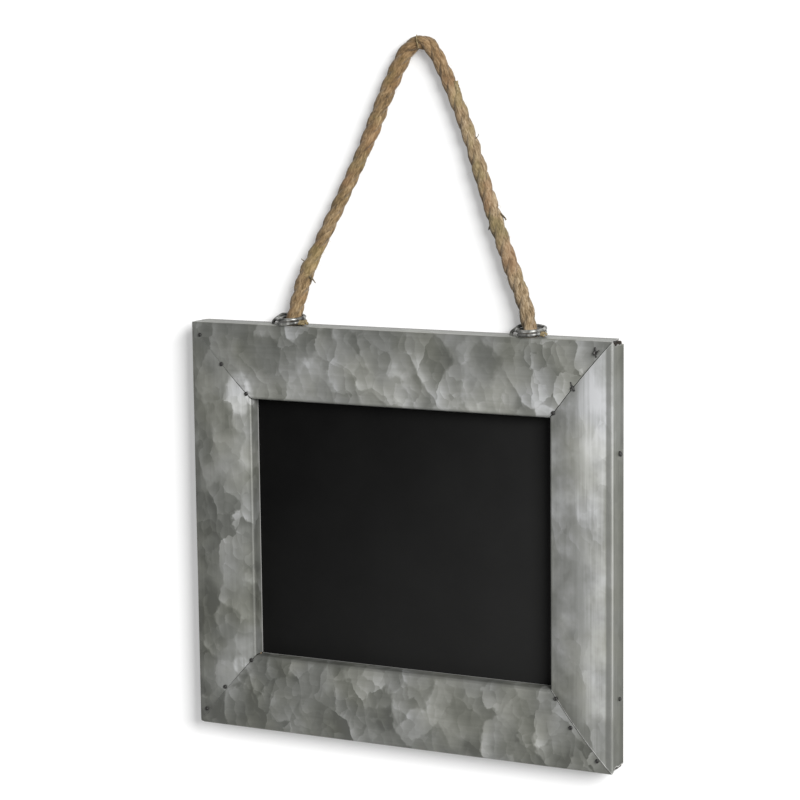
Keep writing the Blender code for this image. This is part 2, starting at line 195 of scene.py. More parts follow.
def backdrop_finish(name, colour, lift, evening=(0.0, 0.0, 0.0)):
    """A matt surface, seen from its front only and lifted towards white for the camera.

    The evening darkens it by so much per metre towards the lamp, which evens out the lamp's fall-off.
    """
    mat = bpy.data.materials.new(name)
    mat.use_nodes = True
    tree = mat.node_tree
    tree.nodes.clear()
    rays = put("ShaderNodeLightPath", tree=tree, output="Is Camera Ray")
    seen = calc("MAXIMUM", rays, rays.output("Is Glossy Ray"))
    seen = calc("MAXIMUM", seen, rays.output("Is Transmission Ray"))
    front = 1.0 - put("ShaderNodeNewGeometry", tree=tree, output="Backfacing")
    place = put("ShaderNodeTexCoord", tree=tree, output="Object")
    level = limited(colour - vector("DOT_PRODUCT", place, evening), DARKEST, PALEST)
    matt = put("ShaderNodeBsdfDiffuse", {"Color": level})
    glow = put("ShaderNodeEmission", {"Color": (1.0, 1.0, 1.0, 1.0), "Strength": lift}, tree=tree)
    both = put("ShaderNodeAddShader", {0: matt, 1: glow})
    clear = put("ShaderNodeBsdfTransparent", tree=tree)
    shown = put("ShaderNodeMixShader", {0: seen * front, 1: clear, 2: both})
    put("ShaderNodeOutputMaterial", {"Surface": shown})
    return mat


def backdrop(name, matrix, mat):
    """A large flat square that isn't part of the object."""
    bm = bmesh.new()
    bmesh.ops.create_grid(bm, x_segments=1, y_segments=1, size=BACKDROP_SIZE / 2, matrix=matrix)
    obj = from_bmesh(name, bm)
    obj.data.materials.append(mat)
    return obj


white_wall = backdrop_finish("white_wall", 0.66, 0.19, (0.50, 0.0, 0.30))
pale_floor = backdrop_finish("pale_floor", 0.7, 0.2)
upright = Matrix.Translation((0.0, WALL_BEHIND, WALL_MIDDLE)) @ turned_by(90, "X")
wall = backdrop("wall", upright, white_wall)
floor = backdrop("floor", Matrix.Translation((0, 0, FLOOR_BELOW)), pale_floor)
print("wall faces", wall.data.polygons[0].normal[:], "floor faces", floor.data.polygons[0].normal[:])


# %% Lamps and world
LAMP_TARGET = Vector((-0.013, 0.0, -0.22))
WORLD_LIGHT, WORLD_SEEN = 0.42, 1.0


def soft_lamp(name, azimuth, elevation, distance, size, power):
    """A square lamp aimed at the middle of the board."""
    a, e = math.radians(azimuth), math.radians(elevation)
    away = Vector((math.sin(a) * math.cos(e), -math.cos(a) * math.cos(e), math.sin(e)))
    data = bpy.data.lights.new(name, "AREA")
    data.size, data.energy = size, power
    lamp = bpy.data.objects.new(name, data)
    lamp.location = LAMP_TARGET + away * distance
    lamp.rotation_euler = away.to_track_quat("Z", "Y").to_euler()
    bpy.context.scene.collection.objects.link(lamp)


soft_lamp("key_lamp", azimuth=51, elevation=21, distance=2.4, size=1.1, power=99)
soft_lamp("back_lamp", azimuth=200, elevation=35, distance=1.8, size=1.2, power=16)

world = bpy.data.worlds.new("studio")
bpy.context.scene.world = world
world.use_nodes = True
rays = put("ShaderNodeLightPath", tree=world.node_tree, output="Is Camera Ray")
seen = calc("MAXIMUM", rays, rays.output("Is Transmission Ray"))
light = world.node_tree.nodes["Background"]
light.inputs["Color"].default_value = (1.0, 1.0, 1.0, 1.0)
feed(light, Strength=fade(seen, 0.0, 1.0, WORLD_LIGHT, WORLD_SEEN))

# %% [markdown]
# ## Small helpers for materials
#
# A finish is a Principled material whose colour, roughness and relief come from a few textures. Each of
# these helpers adds one texture, ramp or mix, or starts the material. A new material hands over its
# Object coordinates. For pieces that stay at the origin, these are places in the room, in metres.


# %% Material helpers
def finish_of(name, **settings):
    """A new Principled material: its shader, its Object coordinates and the material."""
    mat = bpy.data.materials.new(name)
    mat.use_nodes = True
    shader = mat.node_tree.nodes["Principled BSDF"]
    for label, value in settings.items():
        shader.inputs[label.replace("_", " ")].default_value = value
    room = put("ShaderNodeTexCoord", tree=mat.node_tree, output="Object")
    return shader, room, mat


def bump(shader, height, strength, distance):
    """Raises the shading by a height."""
    raised = put("ShaderNodeBump", {"Height": height, "Strength": strength, "Distance": distance})
    feed(shader, Normal=raised)


def split(value):
    """The three parts of a vector."""
    first = put("ShaderNodeSeparateXYZ", {0: value})
    return first, first.output(1), first.output(2)


def tint(factor, first, second, mode="MIX"):
    """Mixes a colour with a second one, which is a term or a plain colour."""
    second = second if isinstance(second, Term) else (*second, 1.0)
    inputs = {0: factor, 6: first, 7: second}
    return put("ShaderNodeMix", inputs, output=2, data_type="RGBA", blend_type=mode)


def ramp(value, *stops):
    """A colour ramp with its (place, colour) stops."""
    colours = put("ShaderNodeValToRGB", {"Fac": value})
    elements = colours.socket.node.color_ramp.elements
    while len(elements) < len(stops):
        elements.new(1.0)
    for element, (spot, colour) in zip(elements, stops):
        element.position = spot
        element.color = (*colour, 1.0)
    return colours


def grain(coords, scale, detail=2.0, roughness=0.5):
    """A Noise texture's value."""
    inputs = {"Vector": coords, "Scale": scale, "Detail": detail, "Roughness": roughness}
    return put("ShaderNodeTexNoise", inputs)


def stretched(coords, scale, shift=(0.0, 0.0, 0.0)):
    """Coordinates scaled by a different amount along each axis."""
    return put("ShaderNodeMapping", {"Vector": coords, "Scale": scale, "Location": shift})


def shifted(coords, *shift):
    """Coordinates moved, so that a second grain differs from the first."""
    return stretched(coords, (1.0, 1.0, 1.0), shift)


# %% [markdown]
# ## Jute finish
#
# Jute is a coarse golden-brown fibre. Each strand of the rope is spun from yarns, and the fibres lie
# along the yarns, so the pattern has to follow the strand and not the room. The rope's UV map gives that:
# U goes round a strand with the yarns' own twist, and V goes along it. Warm and olive patches, a left leg
# that is yellower than the right one, and a soiled top where the rope rests on its pin don't follow the
# yarns, so they read Object coordinates.

# %% Jute
# patches of another tone: shift and scale of their grain, where it starts and is full, most, colour
JUTE_TONES = (
    ((0.3, 0.1, 0.7), 48.0, 0.50, 0.66, 0.36, (0.21, 0.112, 0.055)),
    ((0.9, 0.4, 0.2), 60.0, 0.52, 0.68, 0.30, (0.19, 0.165, 0.065)),
)
YELLOWER, GREYER = (0.98, 0.93, 0.86), (1.0, 1.01, 1.08)
SOILED, SPECK = (0.78, 0.66, 0.52), (0.045, 0.032, 0.018)


def jute_finish(name, dark, middle, light):
    """Fibres, yarns and stains along the rope's UV map."""
    shader, room, mat = finish_of(name, Roughness=0.9, Specular_IOR_Level=0.25, Sheen_Weight=0.15)
    uv = put("ShaderNodeUVMap", tree=shader.id_data, uv_map="strand")
    fibres = grain(stretched(uv, (22.0, 2.6, 1.0)), 1.0, 4.0, 0.7)
    yarns = grain(stretched(uv, (7.0, 0.7, 1.0), (3.1, 7.7, 0.0)), 1.0)
    stains = grain(room, 75.0)
    level = (fibres * 2.0 - 1.0) + (yarns * 1.1 - 0.55) + (stains * 0.7 + 0.15)
    colour = ramp(level, (0.12, dark), (0.45, middle), (0.85, light))
    for shift, scale, start, end, most, tone in JUTE_TONES:
        patch = fade(grain(shifted(room, *shift), scale), start, end, 0.0, most)
        colour = tint(patch, colour, tone)
    aside, _, height = split(room)
    colour = tint(1.0, colour, ramp(fade(aside, -0.03, 0.03), (0.0, YELLOWER), (1.0, GREYER)), "MULTIPLY")
    colour = tint(fade(height, -0.045, 0.006, 0.0, 0.75), colour, SOILED, "MULTIPLY")
    specks = grain(stretched(uv, (11.0, 3.0, 1.0), (9.4, 2.2, 0.0)), 1.6, 3.0)
    feed(shader, Base_Color=tint(fade(specks, 0.62, 0.70, 0.0, 0.75), colour, SPECK))
    bump(shader, fibres, 0.7, 0.0003)
    return mat


jute = jute_finish("jute", (0.062, 0.042, 0.020), (0.168, 0.117, 0.060), (0.300, 0.230, 0.142))
print("jute nodes:", len(jute.node_tree.nodes))

# %% [markdown]
# ## Rope
#
# The rope is laid from three strands that turn to the right, one turn in 30 mm. A bent cylinder would
# have neither the strands nor the clefts between them, so each strand is a tube of its own that winds
# round the rope's path, and low ridges round each tube are its yarns. The path is the CAD model's route,
# point for point: the pin, the rings and the holes in the frame all lie on it.

# %% Rope route
ROPE_ROUTE = (
    (-0.07965, -0.0030, -0.1501), (-0.07965, -0.0030, -0.1486), (-0.0770, -0.00285, -0.1408),
    (-0.07045, -0.0025, -0.1212), (-0.05925, -0.00205, -0.1001), (-0.04455, -0.0015, -0.0729),
    (-0.03085, -0.0010, -0.0461), (-0.02115, -0.00055, -0.0243), (-0.01175, -0.0002, -0.0062),
    (-0.00675, -0.0001, 0.0008), (0.0, 0.0, 0.0041), (0.0056, -0.00005, 0.0021),
    (0.01035, -0.00015, -0.0043), (0.01895, -0.0005, -0.0211), (0.02845, -0.00095, -0.0440),
    (0.03535, -0.0013, -0.0638), (0.04395, -0.0018, -0.0882), (0.05335, -0.0023, -0.1125),
    (0.0612, -0.0027, -0.1322), (0.06365, -0.0029, -0.1429), (0.06465, -0.0030, -0.1486),
    (0.06465, -0.0030, -0.1501),
)
LEFT_HOLE, RIGHT_HOLE = Vector(ROPE_ROUTE[1]), Vector(ROPE_ROUTE[-2])
PARTS_PER_SPAN = 24


def smooth_path(route, spacing):
    """Evenly spaced points on a smooth curve through a route."""
    route = [Vector(p) for p in route]
    ends = [2 * route[0] - route[1], *route, 2 * route[-1] - route[-2]]
    fine = []
    for before, a, b, after in zip(ends, ends[1:], ends[2:], ends[3:]):
        out, into = (b - before) / 2, (after - a) / 2
        for i in range(PARTS_PER_SPAN):
            s = i / PARTS_PER_SPAN
            near = (1 + 2 * s) * (1 - s) ** 2 * a + s * (1 - s) ** 2 * out
            fine.append(near + s**2 * (3 - 2 * s) * b - s**2 * (1 - s) * into)
    fine.append(route[-1])
    reached = [0.0]
    for a, b in zip(fine, fine[1:]):
        reached.append(reached[-1] + (b - a).length)
    count = round(reached[-1] / spacing)
    points, k = [], 0
    for i in range(count + 1):
        want = reached[-1] * i / count
        while k < len(fine) - 2 and reached[k + 1] < want:
            k += 1
        span = reached[k + 1] - reached[k]
        points.append(fine[k].lerp(fine[k + 1], (want - reached[k]) / span))
    return points, reached[-1]


rope_path, rope_length = smooth_path(ROPE_ROUTE, 0.0008)
print("rope:", len(rope_path), "points,", round(rope_length, 4), "m")


# %% Directions along a path
def carried_frames(points):
    """Heading and two side directions at each point, carried along the path without twist."""
    frames, side = [], Vector((0.0, -1.0, 0.0))
    for i, point in enumerate(points):
        ahead = (points[min(i + 1, len(points) - 1)] - points[max(i - 1, 0)]).normalized()
        side = (side - ahead * side.dot(ahead)).normalized()
        frames.append((point, ahead, side, ahead.cross(side)))
    return frames


# %% Tubes
def tube_skin(verts, faces, rings):
    """Joins rings of points into a closed tube with pointed ends."""
    around, base = len(rings[0]), len(verts)
    sides = [(j, (j + 1) % around) for j in range(around)]
    last = base + (len(rings) - 1) * around
    for ring in rings:
        verts.extend(ring)
    for first in range(base, last, around):
        faces.extend((first + a, first + b, first + b + around, first + a + around) for a, b in sides)
    verts.append(sum(rings[0], Vector()) / around)
    faces.extend((base + b, base + a, len(verts) - 1) for a, b in sides)
    verts.append(sum(rings[-1], Vector()) / around)
    faces.extend((last + a, last + b, len(verts) - 1) for a, b in sides)


def made(name, verts, faces=(), mat=None, edges=()):
    """A new object from its points and faces, smooth where it has a material."""
    mesh = bpy.data.meshes.new(name)
    mesh.from_pydata(verts, edges, faces)
    if mat:
        mesh.materials.append(mat)
        mesh.shade_smooth()
    return show(name, mesh)


def strand_piece(name, verts, faces, marks):
    """A jute object with a UV map. Each point's mark is its angle, its twist and its place along."""
    piece = made(name, verts, faces, jute)
    mesh = piece.data
    layer = mesh.uv_layers.new(name="strand")
    for face in mesh.polygons:
        first = marks[face.vertices[0]][0]
        for loop in face.loop_indices:
            angle, twist, along = marks[mesh.loops[loop].vertex_index]
            if first - angle > math.pi:
                angle += math.tau
            layer.data[loop].uv = ((angle + twist) / math.tau, along)
    return piece


# %% [markdown]
# A real rope isn't equally thick all along: it is pressed thin on its pin, and slack lays make it fuller.
# A short table holds how full it looks at some distances, and noise adds small lumps. It is slim at both
# ends, where it has to pass its holes when the board swings out.

# %% Rope fullness
PIN_PINCH, PINCH_REACH, PINCH_DEPTH, LUMP_HEIGHT = 0.1745, 0.0026, 0.10, 0.05
# distance along the rope, and how full the rope is there
FULLNESS = (
    (0.000, 1.00), (0.006, 1.02), (0.014, 1.10), (0.033, 1.09), (0.046, 0.96), (0.107, 0.97), (0.119, 1.11),
    (0.131, 1.07), (0.155, 1.13), (0.170, 1.05), (0.197, 0.99), (0.242, 0.97), (0.253, 1.06), (0.297, 1.06),
    (0.309, 1.14), (0.319, 1.06), (0.332, 1.10), (0.340, 1.02), (0.347, 1.00),
)


def rope_fullness(along):
    """How thick the rope is at a distance along it, as a share of its plain thickness."""
    plain = 1.0
    for (start, low), (end, high) in zip(FULLNESS, FULLNESS[1:]):
        if start <= along <= end:
            plain = low + (high - low) * (along - start) / (end - start)
    pinch = math.exp(-(((along - PIN_PINCH) / PINCH_REACH) ** 2))
    lumps = noise.noise(Vector((along * 90.0, 4.0, 0.0)))
    lumps += 0.7 * noise.noise(Vector((along * 240.0, 9.0, 0.0)))
    return plain - PINCH_DEPTH * pinch + LUMP_HEIGHT * lumps


# %% Rope strands
ROPE_LAY = 0.030
STRAND_RADIUS, STRAND_REACH, STRAND_AROUND = 0.00260, 0.00132, 28
YARNS, YARN_TWIST, YARN_HEIGHT, ROUGH_HEIGHT = 5, 1.43, 0.022, 0.085
# a strand's points are set closer on its outer side by this share
OUTWARD_SHARE = 0.6
UV_PER_METRE, UV_APART = 100.0, 37.0


def laid_rope(name, frames, length):
    """Three strands round a path, with a UV map that follows the yarns."""
    verts, faces, marks = [], [], []
    for strand in range(3):
        rings, uv_start = [], UV_APART * strand
        for i, (point, ahead, side, other) in enumerate(frames):
            along = length * i / (len(frames) - 1)
            turn = math.tau * (along / ROPE_LAY + strand / 3)
            full = rope_fullness(along)
            swell = 1.0 + 0.09 * noise.noise(Vector((along * 160.0, strand * 9.0, 1.0)))
            out = side * math.cos(turn) + other * math.sin(turn)
            across = ahead.cross(out)
            centre = point + out * STRAND_REACH * full
            ring = []
            for j in range(STRAND_AROUND):
                even = math.tau * j / STRAND_AROUND
                angle = even - OUTWARD_SHARE * math.sin(even)
                yarn = math.cos(YARNS * (angle + YARN_TWIST * turn)) * YARN_HEIGHT
                spot = Vector((angle * 2.2 + strand * 5.0, along * 420.0, turn))
                reach = STRAND_RADIUS * full * swell * (1.0 + yarn + noise.noise(spot) * ROUGH_HEIGHT)
                ring.append(centre + out * reach * math.cos(angle) + across * reach * math.sin(angle))
                marks.append((angle, YARN_TWIST * turn, along * UV_PER_METRE + uv_start))
            rings.append(ring)
        tube_skin(verts, faces, rings)
        marks.append((0.0, 0.0, uv_start))
        marks.append((0.0, YARN_TWIST * math.tau * length / ROPE_LAY, length * UV_PER_METRE + uv_start))
    return strand_piece(name, verts, faces, marks)


rope_frames = carried_frames(rope_path)
rope = laid_rope("laid_rope", rope_frames, rope_length)
print("rope mesh:", len(rope.data.polygons), "faces")

# %% [markdown]
# ## Stopper knots
#
# Each end of the rope goes through the top of the frame into a pocket and stops there. The knot is
# tied in the rope's own strands, which wind over it as a small ball. Three thick strands, wound from
# one pole of a ball to the other, show that, and they are thick enough to nearly fill it.

# %% Knots
KNOT_STEPS, KNOT_AROUND, KNOT_WIND, KNOT_TWIST, KNOT_AHEAD = 60, 20, 0.62, 5.0, 0.01
KNOT_UV_LENGTH, KNOT_UV_APART = 2.4, 11.0


def on_ball(strand, t):
    """Direction from a ball's middle to a strand wound on it, at a share of the strand's length."""
    polar, turn = math.pi * (0.04 + 0.92 * t), math.tau * (strand / 3 + KNOT_WIND * t)
    return Vector((math.sin(polar) * math.cos(turn), math.sin(polar) * math.sin(turn), math.cos(polar)))


def stopper_knot(name, node):
    """A ball of three wound strands where the CAD knot is."""
    low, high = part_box(node)
    centre, radius = (low + high) / 2, (high - low).x / 2
    verts, faces, marks = [], [], []
    for strand in range(3):
        rings = []
        for i in range(KNOT_STEPS + 1):
            t = i / KNOT_STEPS
            thick = radius * (0.30 + 0.16 * math.sin(math.pi * t))
            out = on_ball(strand, t)
            ahead = (on_ball(strand, t + KNOT_AHEAD) - out).normalized()
            across = ahead.cross(out).normalized()
            rise = across.cross(ahead).normalized()
            middle = centre + out * (radius - thick)
            ring = []
            for j in range(KNOT_AROUND):
                angle = math.tau * j / KNOT_AROUND
                reach = thick * (1.0 + 0.03 * math.cos(YARNS * (angle + KNOT_TWIST * t)))
                ring.append(middle + rise * reach * math.cos(angle) + across * reach * math.sin(angle))
                marks.append((angle, KNOT_TWIST * t, t * KNOT_UV_LENGTH + KNOT_UV_APART * strand))
            rings.append(ring)
        tube_skin(verts, faces, rings)
        marks.append((0.0, 0.0, KNOT_UV_APART * strand))
        marks.append((0.0, KNOT_TWIST, KNOT_UV_LENGTH + KNOT_UV_APART * strand))
    return strand_piece(name, verts, faces, marks)


def in_mm(size):
    """A size in rounded millimetres, to print."""
    return [round(d * 1000, 1) for d in size]


knots = {side: stopper_knot("stopper_knot_" + side, "rope_knot_" + side) for side in ("left", "right")}
for side, knot in knots.items():
    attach(knot, "hanger")
    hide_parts("rope_knot_" + side)
    print("knot", side, in_mm(knot.dimensions), "mm")

# %% [markdown]
# ## Geometry Nodes helpers
#
# What repeats, or is bent by a rule, is grown by a tree of Geometry Nodes with named inputs. The tree
# is run once and its result is kept as a plain mesh, because the part is passed on without modifiers.


# %% Growing with nodes
def growing_tree(name, **labels):
    """A new tree and its inputs as terms: a geometry, the named inputs of each kind, and a material."""
    tree = bpy.data.node_groups.new(name, "GeometryNodeTree")
    tree.interface.new_socket("Geometry", in_out="OUTPUT", socket_type="NodeSocketGeometry")
    for kind, names in {"Geometry": ("Geometry",), **labels, "Material": ("Material",)}.items():
        for label in names:
            tree.interface.new_socket(label, in_out="INPUT", socket_type="NodeSocket" + kind)
    given = put("NodeGroupInput", tree=tree)
    return tree, {socket.name: Term(socket) for socket in given.socket.node.outputs if socket.name}


def end_tree(geometry, material):
    """The last steps of every tree: real faces with their material."""
    real = put("GeometryNodeRealizeInstances", {"Geometry": geometry})
    put("NodeGroupOutput", {0: put("GeometryNodeSetMaterial", {"Geometry": real, "Material": material})})


def stored(tree, name, kind="FLOAT_VECTOR"):
    """An attribute that the mesh brings along."""
    return put("GeometryNodeInputNamedAttribute", {"Name": name}, tree=tree, data_type=kind)


def standing_along(way):
    """The rotation that turns Z to a direction."""
    return put("FunctionNodeAlignRotationToVector", {"Vector": way}, axis="Z")


def set_copies(given, points, turn, size=(1.0, 1.0, 1.0)):
    """Sets a copy of the shape at every point, and ends the tree."""
    shape = put("GeometryNodeObjectInfo", {"Object": given["Shape"]}, output="Geometry")
    inputs = {"Points": points, "Instance": shape, "Rotation": turn, "Scale": size}
    end_tree(put("GeometryNodeInstanceOnPoints", inputs), given["Material"])


def plain_mesh(obj):
    """Makes the object's mesh what its modifiers show, and removes them."""
    graph = bpy.context.evaluated_depsgraph_get()
    shown = obj.evaluated_get(graph)
    mesh = bpy.data.meshes.new_from_object(shown, preserve_all_data_layers=True, depsgraph=graph)
    obj.modifiers.clear()
    obj.data = mesh


def grow(obj, tree, values):
    """Runs a tree on an object, its inputs set by name, and keeps the result as its mesh."""
    modifier = obj.modifiers.new(tree.name, "NODES")
    modifier.node_group = tree
    for socket in tree.interface.items_tree:
        if socket.in_out == "INPUT" and socket.name in values:
            modifier[socket.identifier] = values[socket.name]
    plain_mesh(obj)


# %% [markdown]
# ## Loose fibres
#
# Jute always sheds: short fibres stand out of the rope all along. They are one thin bent hair,
# scattered over the rope by Geometry Nodes and leaned along it, some forwards and some backwards.

# %% Fibre helpers
HAIR_THICKNESS, FIBRE_LIFT, FIBRE_SPREAD = 0.011, 0.42, 0.5


def hair_template():
    """One thin bent fibre that grows up from the origin, a unit long."""
    verts, faces, rings = [], [], []
    corners = (0.0, math.tau / 3, 2 * math.tau / 3)
    for t in (0.0, 0.25, 0.5, 0.75, 1.0):
        point = Vector((0.10 * t * t, 0.05 * math.sin(3.0 * t), t))
        thick = HAIR_THICKNESS * (1.0 - 0.75 * t)
        rings.append([point + Vector((thick * math.cos(a), thick * math.sin(a), 0)) for a in corners])
    tube_skin(verts, faces, rings)
    return made("hair", verts, faces)


def scaled(value, factor):
    """A vector times a number."""
    return put("ShaderNodeVectorMath", {0: value, "Scale": factor}, operation="SCALE")


def fibre_tree():
    """Scatters a hair over a rope, leaned along it."""
    sizes = ("Per square metre", "Shortest", "Longest")
    tree, given = growing_tree("loose_fibres", Float=sizes, Int=("Seed",), Object=("Shape",))
    scatter = {"Mesh": given["Geometry"], "Density": given["Per square metre"], "Seed": given["Seed"]}
    spread = put("GeometryNodeDistributePointsOnFaces", scatter)
    way = {2: -1.0, 3: 1.0, "Seed": given["Seed"]}
    way = calc("SIGN", put("FunctionNodeRandomValue", way, output=1, data_type="FLOAT"))
    wild = {0: (-FIBRE_SPREAD,) * 3, 1: (FIBRE_SPREAD,) * 3, "Seed": 7}
    wild = put("FunctionNodeRandomValue", wild, tree=tree, data_type="FLOAT_VECTOR")
    lean = vector("ADD", scaled(stored(tree, "heading"), way), wild)
    lean = vector("ADD", lean, scaled(spread.output("Normal"), FIBRE_LIFT))
    size = {2: given["Shortest"], 3: given["Longest"], "Seed": 3}
    size = put("FunctionNodeRandomValue", size, output=1, data_type="FLOAT")
    set_copies(given, spread, standing_along(lean), size)
    return tree


# %% Fibres
def speckled(name, scale, detail, stops, rough=None, relief=None, **settings):
    """A finish for small pieces: one fine grain gives the colour, and if asked roughness and relief."""
    shader, room, mat = finish_of(name, **settings)
    spots = grain(room, scale, detail)
    feed(shader, Base_Color=ramp(spots, *stops))
    if rough:
        feed(shader, Roughness=fade(spots, 0.3, 0.7, *rough))
    if relief:
        fine, fine_detail, strength, distance = relief
        bump(shader, grain(room, fine, fine_detail), strength, distance)
    return mat


FIBRE_SHADES = ((0.3, (0.10, 0.07, 0.04)), (0.7, (0.34, 0.26, 0.16)))
jute_fibre = speckled("jute_fibre", 220.0, 2.0, FIBRE_SHADES, Roughness=0.85, Specular_IOR_Level=0.2)
fibres = show("rope_fibres", rope.data.copy())
heading = fibres.data.attributes.new("heading", "FLOAT_VECTOR", "POINT")
per_strand = len(rope_frames) * STRAND_AROUND + 2
for i, item in enumerate(heading.data):
    ring = min(i % per_strand // STRAND_AROUND, len(rope_frames) - 1)
    item.vector = rope_frames[ring][1]
hair = hair_template()
wanted = {"Per square metre": 52000.0, "Shortest": 0.0016, "Longest": 0.0045, "Seed": 11}
grow(fibres, fibre_tree(), {**wanted, "Shape": hair, "Material": jute_fibre})
bpy.data.objects.remove(hair)
print("fibres:", len(fibres.data.polygons), "faces")

# %% [markdown]
# ## Loose ends
#
# A few fibre bundles have worked loose for good. Each is a short tapered tube along two to four points:
# its first point lies in the rope and its last one stands free. One strand ends in a squared stub near
# the top, and a pale thread lies over the pin. Small tufts lie under the rings, where the rope was
# dragged through, and they stay with the board.

# %% Places of the loose ends
# points of each loose end, with its thickness at its root and at its tip
LOOSE_ENDS = (
    (((-0.06664, -0.0035, -0.11552), (-0.07037, -0.0035, -0.11373), (-0.07266, -0.0035, -0.11233)),
     0.0011, 0.0004),
    (((-0.07308, -0.0035, -0.12448), (-0.07531, -0.0035, -0.12565), (-0.07659, -0.0035, -0.12652)),
     0.0010, 0.0005),
    (((-0.06805, -0.0045, -0.12094), (-0.06527, -0.0045, -0.12302), (-0.06344, -0.0045, -0.12514)),
     0.0012, 0.0005),
    (((-0.01624, -0.0020, -0.01574), (-0.01897, -0.0020, -0.01785), (-0.02020, -0.0020, -0.02022)),
     0.0013, 0.0005),
    (((0.02958, -0.0020, -0.04747), (0.03193, -0.0020, -0.04651), (0.03403, -0.0020, -0.04524),
      (0.03474, -0.0020, -0.04367)), 0.0004, 0.0003),
    (((0.04680, -0.0012, -0.08520), (0.04925, -0.0012, -0.08740), (0.04985, -0.0012, -0.08850)),
     0.0012, 0.0008),
    (((0.04257, -0.0030, -0.08951), (0.04110, -0.0030, -0.09217), (0.04068, -0.0030, -0.09375)),
     0.0012, 0.0006),
)
STRAND_ENDS = (
    (((0.0226, -0.0015, -0.0270), (0.0220, -0.0015, -0.0210), (0.0212, -0.0015, -0.0163)), 0.0022, 0.0027),
    (((-0.0004, -0.0034, 0.0079), (-0.0002, -0.0041, 0.0051), (0.0008, -0.0037, 0.0010)), 0.0006, 0.0005),
)
TUFTS = (
    (((-0.07247, -0.0070, -0.14700), (-0.06930, -0.0072, -0.14650), (-0.06700, -0.0074, -0.14735)),
     0.0026, 0.0016),
    (((-0.07247, -0.0066, -0.14690), (-0.06970, -0.0064, -0.14610), (-0.06830, -0.0062, -0.14580)),
     0.0022, 0.0013),
    (((-0.07247, -0.0080, -0.14730), (-0.06990, -0.0084, -0.14735), (-0.06850, -0.0087, -0.14760)),
     0.0020, 0.0012),
    (((0.07263, -0.0072, -0.14640), (0.07460, -0.0072, -0.14620), (0.07590, -0.0072, -0.14700)),
     0.0020, 0.0012),
    (((0.07263, -0.0080, -0.14690), (0.07400, -0.0082, -0.14730), (0.07500, -0.0084, -0.14760)),
     0.0018, 0.0011),
)

# %% Loose ends
END_SPACING, END_AROUND, END_UNEVENNESS = 0.0005, 10, 0.25


def tube_rings(points, radii, around):
    """Round rings along a path, one radius for each point."""
    turns = [math.tau * j / around for j in range(around)]
    return [
        [point + (side * math.cos(a) + other * math.sin(a)) * radius for a in turns]
        for (point, ahead, side, other), radius in zip(carried_frames(points), radii)
    ]


def loose_ends(name, ends, mat):
    """Tapered tubes along these points, a little uneven, as one object."""
    verts, faces = [], []
    for route, root, tip in ends:
        points = smooth_path(route, END_SPACING)[0]
        radii = []
        for i, point in enumerate(points):
            taper = (root + (tip - root) * (i / (len(points) - 1))) / 2
            radii.append(taper * (1.0 + END_UNEVENNESS * noise.noise(point * 1500.0)))
        tube_skin(verts, faces, tube_rings(points, radii, END_AROUND))
    return made(name, verts, faces, mat)


def tuft_finish(name, dark, light):
    """Coarse fibre bundles, from a dark to a light shade."""
    return speckled(name, 900.0, 3.0, ((0.35, dark), (0.65, light)), Roughness=0.9, Specular_IOR_Level=0.2)


tan = tuft_finish("tuft", (0.11, 0.082, 0.040), (0.25, 0.20, 0.115))
dark_tan = tuft_finish("loose_end", (0.035, 0.027, 0.016), (0.15, 0.12, 0.075))
ends = loose_ends("loose_ends", LOOSE_ENDS, dark_tan)
strand_ends = loose_ends("strand_ends", STRAND_ENDS, tan)
tufts = loose_ends("ring_tufts", TUFTS, tan)
for piece, body in ((ends, "hanger"), (strand_ends, "hanger"), (tufts, "board")):
    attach(piece, body)
print("loose ends:", len(LOOSE_ENDS) + len(STRAND_ENDS), "and tufts:", len(TUFTS))

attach(rope, "hanger")
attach(fibres, "hanger")
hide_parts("rope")

# %% [markdown]
# ## Galvanised sheet
#
# Hot-dip zinc freezes on steel in crystals as large as a thumbnail. Each crystal, or spangle, reflects
# the light in its own direction, so one edge of it is bright and it fades towards the other. A Voronoi
# texture gives the crystals: its cell is one spangle, and the distance from the cell's middle along a
# direction gives the fade. The direction leans to the left and down for all of them, as it does in the
# photograph, and each cell adds a random part of its own. Noise bends the cells into lobes and feathers.
# The borders between cells are sharp in some places and soft in others, so the Voronoi is a smooth one,
# and its smoothness follows a noise.

# %% Spangles
LIGHT_EDGE = (-0.92, 0.0, -0.38)
OWN_WAY, BRIGHTEST_EDGE, EDGE_POWER = 1.7, 1.1, 1.5


def centred(colour):
    """A random colour as a vector that points any way, with its middle at zero."""
    return vector("SUBTRACT", colour, (0.5, 0.5, 0.5))


def spangles(coords, size, warp):
    """Brightness from 0 to 1 of crystals of about this size in metres, brightest along one edge."""
    pull = {"Vector": coords, "Scale": 0.6 / size, "Detail": 4.0, "Roughness": 0.58}
    pull = put("ShaderNodeTexNoise", pull, output="Color")
    spot = vector("ADD", coords, scaled(centred(pull), warp * size))
    softened = fade(grain(shifted(coords, 0.2, 0.6, 0.5), 45.0), 0.42, 0.60, 0.02, 0.25)
    cell = {"Vector": spot, "Scale": 1.0 / size, "Randomness": 1.0, "Smoothness": softened}
    own = put("ShaderNodeTexVoronoi", cell, output="Color", feature="SMOOTH_F1")
    local = scaled(vector("SUBTRACT", spot, own.output("Position")), 1.0 / size)
    way = vector("NORMALIZE", vector("ADD", scaled(centred(own), OWN_WAY), LIGHT_EDGE))
    slope = limited(vector("DOT_PRODUCT", local, way) + 0.5, 0.0, BRIGHTEST_EDGE)
    return calc("POWER", slope, EDGE_POWER) * 0.54 + (split(own)[0] * 0.48 - 0.055)
